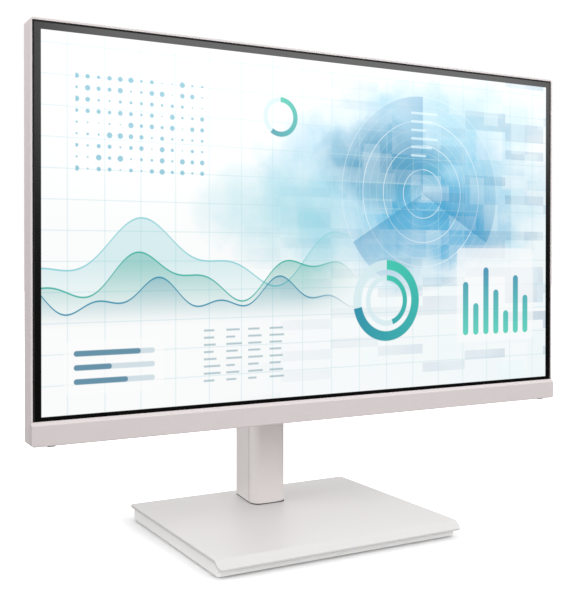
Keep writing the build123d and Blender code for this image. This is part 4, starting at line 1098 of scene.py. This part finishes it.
@dataclass
class Electronics(SubAssembly):
    """Chassis, boards and sockets, with the plastic tongues and gold contacts of the sockets.

    Attributes:
        leg: Height of a socket's shell above its board.
        mouth: How far a tongue lies inside its mouth.
        closed_end: Thickness kept free at a socket's closed end.
        tongue_share: Half of a tongue's width, as a share of its socket's width.
        tongue_half: Half of a tongue's thickness, for picture and for data sockets.
        tongue_round: Radius of a tongue's long edges.
        contact_pitch: Spacing of the contacts; the real one is nearer 0.5 mm and would not show.
        contact_size: Width, height and length of a contact strip.
        contact_start: How far the strips begin behind the tongue's tip.
        wide_socket: Width from which a socket has rows of round contacts.
        wide_growth: How many times wider and thicker the block in such a socket is.
        pins: Rows and columns of round contacts.
        pin_pitch: Their spacing along a row and from row to row.
        pin_radii: Radius of a round contact at its foot and at its end.
        pin_height: Its height.
        pin_place: How far its middle lies before the block.
    """

    leg: float = 1.0 * MM
    mouth: float = 1.3 * MM
    closed_end: float = 1.7 * MM
    tongue_share: float = 0.33
    tongue_half: Pair = (0.9 * MM, 1.2 * MM)
    tongue_round: float = 0.3 * MM
    contact_pitch: float = 0.9 * MM
    contact_size: Triple = (0.45 * MM, 0.08 * MM, 5.0 * MM)
    contact_start: float = 0.4 * MM
    wide_socket: float = 25.0 * MM
    wide_growth: Pair = (1.25, 3.2)
    pins: tuple[int, int] = (3, 5)
    pin_pitch: Pair = (2.3 * MM, 1.7 * MM)
    pin_radii: Pair = (0.42 * MM, 0.5 * MM)
    pin_height: float = 0.3 * MM
    pin_place: float = 0.05 * MM
    finishes: ClassVar[Dressing] = {
        ZINC_SHEET: ("chassis_plate", "port_bracket"),
        NICKEL: ("vesa_posts", "board_screws", "video_ports", "usb_ports", "inlet_pins"),
        SOLDER_MASK: ("main_board", "power_board", "source_board"),
        CHIP_EPOXY: ("main_board_parts",),
        SLEEVE: ("power_board_parts",),
        MATT_BLACK: ("power_inlet",),
    }

    def tongue(self, low: Vector, high: Vector, half: float) -> tuple[Vector, Vector]:
        """Places the plastic tongue of one socket.

        Args:
            low: Lowest corner of the socket's metal, with its legs.
            high: Its highest corner.
            half: Half of the tongue's thickness.

        Returns:
            Corners of the tongue.
        """
        middle = Vector(((low.x + high.x) / 2, (low.y + self.leg + high.y) / 2, 0.0))
        reach = (high.x - low.x) * self.tongue_share
        if high.x - low.x > self.wide_socket:
            reach, half = reach * self.wide_growth[0], half * self.wide_growth[1]
        return (
            middle + Vector((-reach, -half, low.z + self.mouth)),
            middle + Vector((reach, half, high.z - self.closed_end)),
        )

    def add_contacts(self, shape: BMesh, low: Vector, high: Vector) -> None:
        """Lays contact strips on both faces of a tongue.

        Args:
            shape: Mesh that gets the strips.
            low: Lowest corner of the tongue.
            high: Highest corner of the tongue.
        """
        width, height, _ = self.contact_size
        count = int((high.x - low.x - self.contact_pitch) / self.contact_pitch)
        first = (low.x + high.x - (count - 1) * self.contact_pitch) / 2
        for number in range(count):
            across = first + number * self.contact_pitch
            for face in (low.y - height, high.y):
                start = Vector((across - width / 2, face, low.z + self.contact_start))
                add_block(shape, start, start + Vector(self.contact_size))

    def add_round_contacts(self, shape: BMesh, low: Vector, high: Vector) -> None:
        """Sets staggered rows of round contacts in the mouth of a wide socket.

        Args:
            shape: Mesh that gets the contacts.
            low: Lowest corner of the plastic block.
            high: Highest corner of the plastic block.
        """
        rows, columns = self.pins
        middle = Vector(((low.x + high.x) / 2, (low.y + high.y) / 2, low.z - self.pin_place))
        for row in range(rows):
            for column in range(columns):
                across = (column - columns // 2 + (row % 2) * 0.5) * self.pin_pitch[0]
                aside = (row - rows // 2) * self.pin_pitch[1]
                bmesh.ops.create_cone(
                    shape,
                    cap_ends=True,
                    segments=12,
                    radius1=self.pin_radii[0],
                    radius2=self.pin_radii[1],
                    depth=self.pin_height,
                    matrix=Matrix.Translation(middle + Vector((across, aside, 0.0))),
                )

    def fit_sockets(self) -> None:
        """Makes the tongues and the contacts of all sockets."""
        plastic, gold = bmesh.new(), bmesh.new()
        for name, half in zip(("video_ports", "usb_ports"), self.tongue_half, strict=True):
            for shell_low, shell_high in solids(self.nodes[name]):
                low, high = self.tongue(shell_low, shell_high, half)
                block = add_block(plastic, low, high)
                round_off(plastic, edges_along(block, 2), self.tongue_round)
                if shell_high.x - shell_low.x > self.wide_socket:
                    self.add_round_contacts(gold, low, high)
                else:
                    self.add_contacts(gold, low, high)
        self.keep("socket_tongues", plastic, "display", "dark_plastic", SOCKET_NYLON)
        self.keep("socket_contacts", gold, "display", "bright_steel", GOLD)

    def build(self) -> None:
        """Dresses the boards and fits the sockets."""
        super().build()
        self.fit_sockets()


@dataclass
class Keys(SubAssembly):
    """Keys below the cabinet, their switches and the status lens."""

    finishes: ClassVar[Dressing] = {
        CABINET_ABS: (*(f"menu_button_{number}" for number in range(1, 5)), "power_button"),
        SOLDER_MASK: ("button_board",),
        CHIP_EPOXY: ("button_switches",),
        LIGHT_PIPE: ("led_lens",),
    }


@dataclass
class QuickMount(SubAssembly):
    """Plate, pivot and spring latch that hold the display on its stand.

    Attributes:
        rib_count: Finger ribs on the latch button.
        rib_pitch: Their spacing.
        rib_size: Length, height and width of a rib.
        rib_start: Height of the first rib above the button's lower edge.
        rib_root: How deep a rib stands in the button.
        rib_round: Radius of its crest.
    """

    rib_count: int = 3
    rib_pitch: float = 2.7 * MM
    rib_size: Triple = (15.0 * MM, 0.5 * MM, 1.0 * MM)
    rib_start: float = 3.0 * MM
    rib_root: float = 0.1 * MM
    rib_round: float = 0.3 * MM
    finishes: ClassVar[Dressing] = {
        BLACK_ECOAT: ("mount_plate",),
        CABINET_ABS: ("latch_button",),
        SPRING_STRIP: ("latch_spring",),
        NICKEL: ("pivot_spindle", "pivot_nut"),
        FRICTION_FIBRE: ("pivot_washer",),
    }

    def rib_latch(self) -> None:
        """Makes the ribs that the finger pulls on."""
        low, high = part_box("latch_button")
        shape = bmesh.new()
        for number in range(self.rib_count):
            foot = low.z + self.rib_start + number * self.rib_pitch
            start = Vector((-self.rib_size[0] / 2, high.y - self.rib_root, foot))
            rib = add_block(shape, start, start + Vector(self.rib_size))
            crest = [edge for edge in edges_along(rib, 0) if edge.verts[0].co.y > high.y]
            round_off(shape, crest, self.rib_round)
        self.keep("latch_ribs", shape, "latch", "white_plastic", CABINET_ABS)

    def build(self) -> None:
        """Dresses the mount and ribs the latch."""
        super().build()
        self.rib_latch()


@dataclass
class TiltArm(SubAssembly):
    """Friction hinge that tilts the display, its carriage and the arm's cover."""

    finishes: ClassVar[Dressing] = {
        CAST_HEAD: ("tilt_head",),
        NICKEL: ("tilt_axle",),
        BLACK_ECOAT: ("tilt_friction_stack",),
        DIE_CAST: ("carriage",),
        ACETAL: ("slide_pads",),
        COLUMN_ABS: ("arm_cover",),
    }


@dataclass
class Column(SubAssembly):
    """Rail, constant-force spring, and the column's covers with the seals of painted shade between them.

    Attributes:
        shade_seal_width: How far a seal of painted shade reaches in from the outside of the column.
        shade_seal_sink: How far its top lies below the covers' tops.
        shade_seal_round: Radius of its edges.
        seam_slack: Clearance of a seal in its gap.
        ring_inset: How far the foot's ring lies inside the covers.
        front_corner: Radius of the ring's front corners.
        corner_flats: Flats that make such a corner.
        back_half_width: Half of the column's width at its back.
    """

    shade_seal_width: float = 1.5 * MM
    shade_seal_sink: float = 0.1 * MM
    shade_seal_round: float = 0.05 * MM
    seam_slack: float = 0.02 * MM
    ring_inset: float = 0.15 * MM
    front_corner: float = 7.5 * MM
    corner_flats: int = 6
    back_half_width: float = 14.0 * MM
    finishes: ClassVar[Dressing] = {
        ZINC_SHEET: ("column_rail",),
        DIE_CAST: ("column_foot",),
        NICKEL: ("column_screws",),
        SPRING_STRIP: ("lift_spring", "spring_band"),
        COLUMN_ABS: ("column_front_cover", "column_rear_cover"),
    }

    def shade_seam(self) -> None:
        """Makes the dark seal in the seam between the front and rear covers, painted shade for that seam.
        """
        low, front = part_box("column_front_cover")
        rear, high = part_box("column_rear_cover")
        start, end = front.y + self.seam_slack, rear.y - self.seam_slack
        side, inner, top = front.x, front.x - self.shade_seal_width, high.z - self.shade_seal_sink
        shape = bmesh.new()
        for left, right in ((-side, -inner), (inner, side)):
            strip = add_block(shape, Vector((left, start, low.z)), Vector((right, end, top)))
            round_off(shape, edges_along(strip, 2), self.shade_seal_round, 2)
        under = high.z - self.shade_seal_width
        cap = add_block(shape, Vector((-inner, start, under)), Vector((inner, end, top)))
        round_off(shape, edges_along(cap, 0), self.shade_seal_round, 2)
        self.keep("column_seam_shade_seal", shape, "column", "rubber_foot", SEAM_SHADE_FOAM)

    def shade_foot(self) -> None:
        """Makes the dark ring that fills the line between the turning covers and the base, painted shade
        for that crease.
        """
        low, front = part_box("column_front_cover")
        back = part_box("column_rear_cover")[1]
        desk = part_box("base_cover")[1].z
        shape = bmesh.new()
        right_side = [(front.x, low.y), (front.x, front.y), (self.back_half_width, back.y)]
        left_side = [(-x, y) for x, y in reversed(right_side)]
        corners = [
            shape.verts.new((x, y, low.z - self.seam_slack)) for x, y in right_side + left_side
        ]
        shape.faces.new(corners)
        front_corners = [corners[0], corners[-1]]
        round_off(shape, front_corners, self.front_corner, self.corner_flats, "VERTICES")
        plate = next(iter(shape.faces))
        # The plate is open all round, so its insets have to take its border along.
        inset = {"faces": [plate], "use_boundary": True, "use_even_offset": True}
        margin = bmesh.ops.inset_region(shape, thickness=self.ring_inset, **inset)["faces"]
        bmesh.ops.delete(shape, geom=margin, context="FACES")
        bmesh.ops.inset_region(shape, thickness=self.shade_seal_width, **inset)
        bmesh.ops.delete(shape, geom=[plate], context="FACES")
        extrude(shape, (0.0, 0.0, desk - low.z + 4 * self.seam_slack))
        self.keep("column_foot_shade_seal", shape, "column", "rubber_foot", SEAM_SHADE_FOAM)

    def build(self) -> None:
        """Dresses the column and sets its seals of painted shade."""
        super().build()
        self.shade_seam()
        self.shade_foot()


@dataclass
class Base(SubAssembly):
    """Flat base with its steel weight, swivel and grooved rubber strips.

    Attributes:
        end_slack: How much the rounds of a strip's ends stay smaller than half its width.
        end_flats: Flats that make such a round.
        rim: Flat rim of a strip outside its groove.
        groove: Width of the groove.
        groove_depth: Depth of the groove.
        groove_wall: Sideways lean of each wall of the groove.
    """

    end_slack: float = 0.05 * MM
    end_flats: int = 8
    rim: float = 1.3 * MM
    groove: float = 0.9 * MM
    groove_depth: float = 0.6 * MM
    groove_wall: float = 0.1 * MM
    finishes: ClassVar[Dressing] = {
        BASE_COAT: ("base_cover",),
        TRAY_ABS: ("base_tray",),
        BLACK_ECOAT: ("weight_plate",),
        NICKEL: ("base_screws", "swivel_nut"),
        RUBBER: ("rubber_feet",),
        FRICTION_FIBRE: ("swivel_washers",),
    }

    def groove_feet(self) -> None:
        """Makes the rubber strips with a groove that grips the desk."""
        cuts = (
            (self.rim, 0.0),
            (self.groove_wall, -self.groove_depth),
            (self.groove, 0.0),
            (self.groove_wall, self.groove_depth),
        )
        shape = bmesh.new()
        for low, high in solids(self.nodes["rubber_feet"]):
            middle = (low + high) / 2
            strip = add_block(shape, low, high)
            radius = (high.y - low.y) / 2 - self.end_slack
            round_off(shape, edges_along(strip, 2), radius, self.end_flats)
            under = Vector((middle.x, middle.y, low.z))
            sole = min(shape.faces, key=lambda face: (face.calc_center_median() - under).length)
            for thickness, depth in cuts:
                bmesh.ops.inset_individual(shape, faces=[sole], thickness=thickness, depth=depth)
        self.keep("grooved_feet", shape, "base", "rubber_foot", RUBBER, ("rubber_feet",))

    def build(self) -> None:
        """Dresses the base and lays the strips."""
        super().build()
        self.groove_feet()


# --------------------------------------------------------------------------------------------
# Studio
# --------------------------------------------------------------------------------------------
@dataclass(frozen=True)
class SoftBox:
    """One soft rectangular lamp.

    Attributes:
        name: What it lights.
        place: Its middle, in metres.
        aim: The point that it faces.
        size: Width and height, in metres.
        watts: Its power.
    """

    name: str
    place: Triple
    aim: Triple
    size: Pair
    watts: float

    def hang(self) -> None:
        """Makes the lamp and turns it to its aim."""
        data = bpy.data.lights.new(self.name, "AREA")
        data.shape = "RECTANGLE"
        data.size, data.size_y = self.size
        data.energy = self.watts
        lamp = bpy.data.objects.new(self.name, data)
        lamp.location = self.place
        way = Vector(self.aim) - Vector(self.place)
        lamp.rotation_euler = way.to_track_quat("-Z", "Y").to_euler()
        bpy.context.collection.objects.link(lamp)


@dataclass
class Studio:
    """Floor, soft lamps, surroundings and camera.

    Attributes:
        eye: Camera's place, in metres.
        turn: Camera's heading to the right of the object's back, in degrees.
        dip: Camera's downward lean, in degrees.
        lens: Focal length for the sensor's width, in millimetres.
        sensor: Width of the sensor, in millimetres.
        shift: Sideways and upward lens shift, as shares of the longer side.
        clip: Nearest and farthest distance that the camera shows, in metres.
        room: Light of the surroundings from below and from above.
        room_rise: Heights of a heading between which that light grows.
        mirror: What a mirror shows of the surroundings below and above the horizon.
        mirror_rise: Heights of a heading between which that changes.
        floor_half: Half of the paper's side, in metres.
        floor_sink: How far the paper lies below the feet, in metres.
        floor_lift: Light that the paper adds where it is seen, at the base and away from it.
        floor_fade: Distance from the base's rim over which that light grows, in metres.
        lamps: The soft lamps.
    """

    eye: Triple = (-0.4537, -0.7539, 0.2627)
    turn: float = 27.26
    dip: float = 0.389
    lens: float = 54.64
    sensor: float = 36.0
    shift: Pair = (0.0989, -0.0621)
    clip: Pair = (0.01, 50.0)
    room: Pair = (0.2, 0.86)
    room_rise: Pair = (-0.5, 0.7)
    mirror: Pair = (0.01, 1.0)
    mirror_rise: Pair = (0.02, 0.24)
    floor_half: float = 6.0
    floor_sink: float = 0.0002
    floor_lift: Pair = (0.05, 0.8)
    floor_fade: float = 0.06
    lamps: tuple[SoftBox, ...] = (
        SoftBox("Key at the front right", (0.88, -1.53, 1.12), (0.0, -0.07, 0.29), (1.45, 1.3), 17.0),
        SoftBox("High front left", (-0.95, -1.25, 1.5), (-0.1, -0.07, 0.15), (1.0, 0.8), 4.5),
        SoftBox("Low front fill", (-0.55, -1.6, 0.3), (0.0, 0.0, 0.15), (0.8, 0.4), 1.8),
        SoftBox("Side fill", (-1.6, 0.2, 0.75), (-0.1, 0.0, 0.2), (1.2, 0.9), 6.5),
        SoftBox("Back fill", (0.9, 1.7, 1.2), (0.0, 0.0, 0.25), (1.4, 1.2), 3.5),
    )

    def place_camera(self) -> None:
        """Makes the camera and sets it as the scene's."""
        data = bpy.data.cameras.new("Camera")
        data.lens, data.sensor_width = self.lens, self.sensor
        data.shift_x, data.shift_y = self.shift
        data.clip_start, data.clip_end = self.clip
        camera = bpy.data.objects.new("Camera", data)
        camera.location = self.eye
        camera.rotation_euler = (math.radians(90.0 - self.dip), 0.0, math.radians(-self.turn))
        bpy.context.collection.objects.link(camera)
        bpy.context.scene.camera = camera

    def seen(self, graph: Graph) -> tuple[Socket, Socket]:
        """Finds the rays that should meet a plain white ground.

        Args:
            graph: Nodes that get the test.

        Returns:
            1 for rays from the camera or through clear glass, and 1 for rays from a mirror.
        """
        rays = [graph.add("LightPath", out=f"Is {kind} Ray") for kind in ("Camera", "Transmission")]
        straight = graph.add("Math", rays, operation="MAXIMUM")
        return straight, graph.add("LightPath", out="Is Glossy Ray")

    def light_room(self) -> None:
        """Sets the surroundings: brighter above than below, and white where they are seen."""
        world = bpy.data.worlds.new("White room")
        world.use_nodes = True
        world.node_tree.nodes.clear()
        graph = Graph(world.node_tree)
        rise = graph.add("SeparateXYZ", (graph.add("TexCoord", out="Generated"),), "Z")
        scattered, mirrored = (
            graph.add("MapRange", (rise, *span, *light), interpolation_type="SMOOTHSTEP")
            for span, light in ((self.room_rise, self.room), (self.mirror_rise, self.mirror))
        )
        straight, glossy = self.seen(graph)
        hidden = graph.add("Mix", (glossy, scattered, mirrored))
        strength = graph.add("Mix", (straight, hidden, 1.0))
        white = graph.add("Background", {"Color": "#ffffff", "Strength": strength})
        graph.add("OutputWorld", {"Surface": white})
        bpy.context.scene.world = world

    def paper(self) -> bpy.types.Material:
        """Makes the floor's paper, which keeps the object's shadow and ends in white.

        Rays that are seen meet white paper, which gives off more light away from the base.
        Scattered rays meet paper that is bright at the base and darker away from it, so that it
        lights the base's sloped edge more than the chin. Mirrored rays meet dark paper.

        Returns:
            The material.
        """
        material, graph = new_material("Seamless white paper")
        here = graph.add("TexCoord", out="Object")
        fibres = graph.add("TexNoise", {"Vector": here, "Scale": 900.0})
        white = graph.add("Mix", (fibres, "#f1f1f1", "#f4f4f4"), data_type="RGBA")
        low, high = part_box("base_tray")
        half = (high - low) / 2
        half.z = self.floor_half  # so that only the distance along the floor counts
        away = outside_box(graph, here, tuple((low + high) / 2), tuple(half))
        share = graph.add("MapRange", (away, 0.0, self.floor_fade))
        grown = graph.add("MapRange", (share, 0.0, 1.0, *self.floor_lift))
        straight, glossy = self.seen(graph)
        bounced = graph.add("Mix", (share, "#ebebeb", "#a8a8a8"), data_type="RGBA")
        hidden = graph.add("Mix", (glossy, bounced, "#262626"), data_type="RGBA")
        tint = graph.add("Mix", (straight, hidden, white), data_type="RGBA")
        lift = graph.add("Math", (straight, grown), operation="MULTIPLY")
        sheet = graph.add("BsdfDiffuse", {"Color": tint})
        glow = graph.add("Emission", {"Color": "#ffffff", "Strength": lift})
        graph.add("OutputMaterial", {"Surface": graph.add("AddShader", (sheet, glow))})
        return material

    def lay_floor(self) -> None:
        """Makes the paper floor."""
        shape = bmesh.new()
        place = Matrix.Translation((0.0, 0.0, -self.floor_sink))
        add_sheet(shape, 1, (2 * self.floor_half, 2 * self.floor_half), place)
        data = bpy.data.meshes.new("floor")
        shape.to_mesh(data)
        shape.free()
        floor = bpy.data.objects.new("floor", data)
        bpy.context.collection.objects.link(floor)
        dress(floor, self.paper())

    def build(self) -> None:
        """Makes the whole studio."""
        bpy.context.scene.view_settings.view_transform = "Standard"
        self.light_room()
        for lamp in self.lamps:
            lamp.hang()
        self.lay_floor()
        self.place_camera()


def main() -> None:
    """Builds the sub-assemblies from the display to the base, and then the studio."""
    logging.basicConfig(level=logging.INFO)
    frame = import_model()
    for kind in (Panel, Cabinet, Electronics, Keys, QuickMount, TiltArm, Column, Base):
        kind(frame["nodes"]).build()
    Studio().build()


if __name__ == "__main__":
    main()
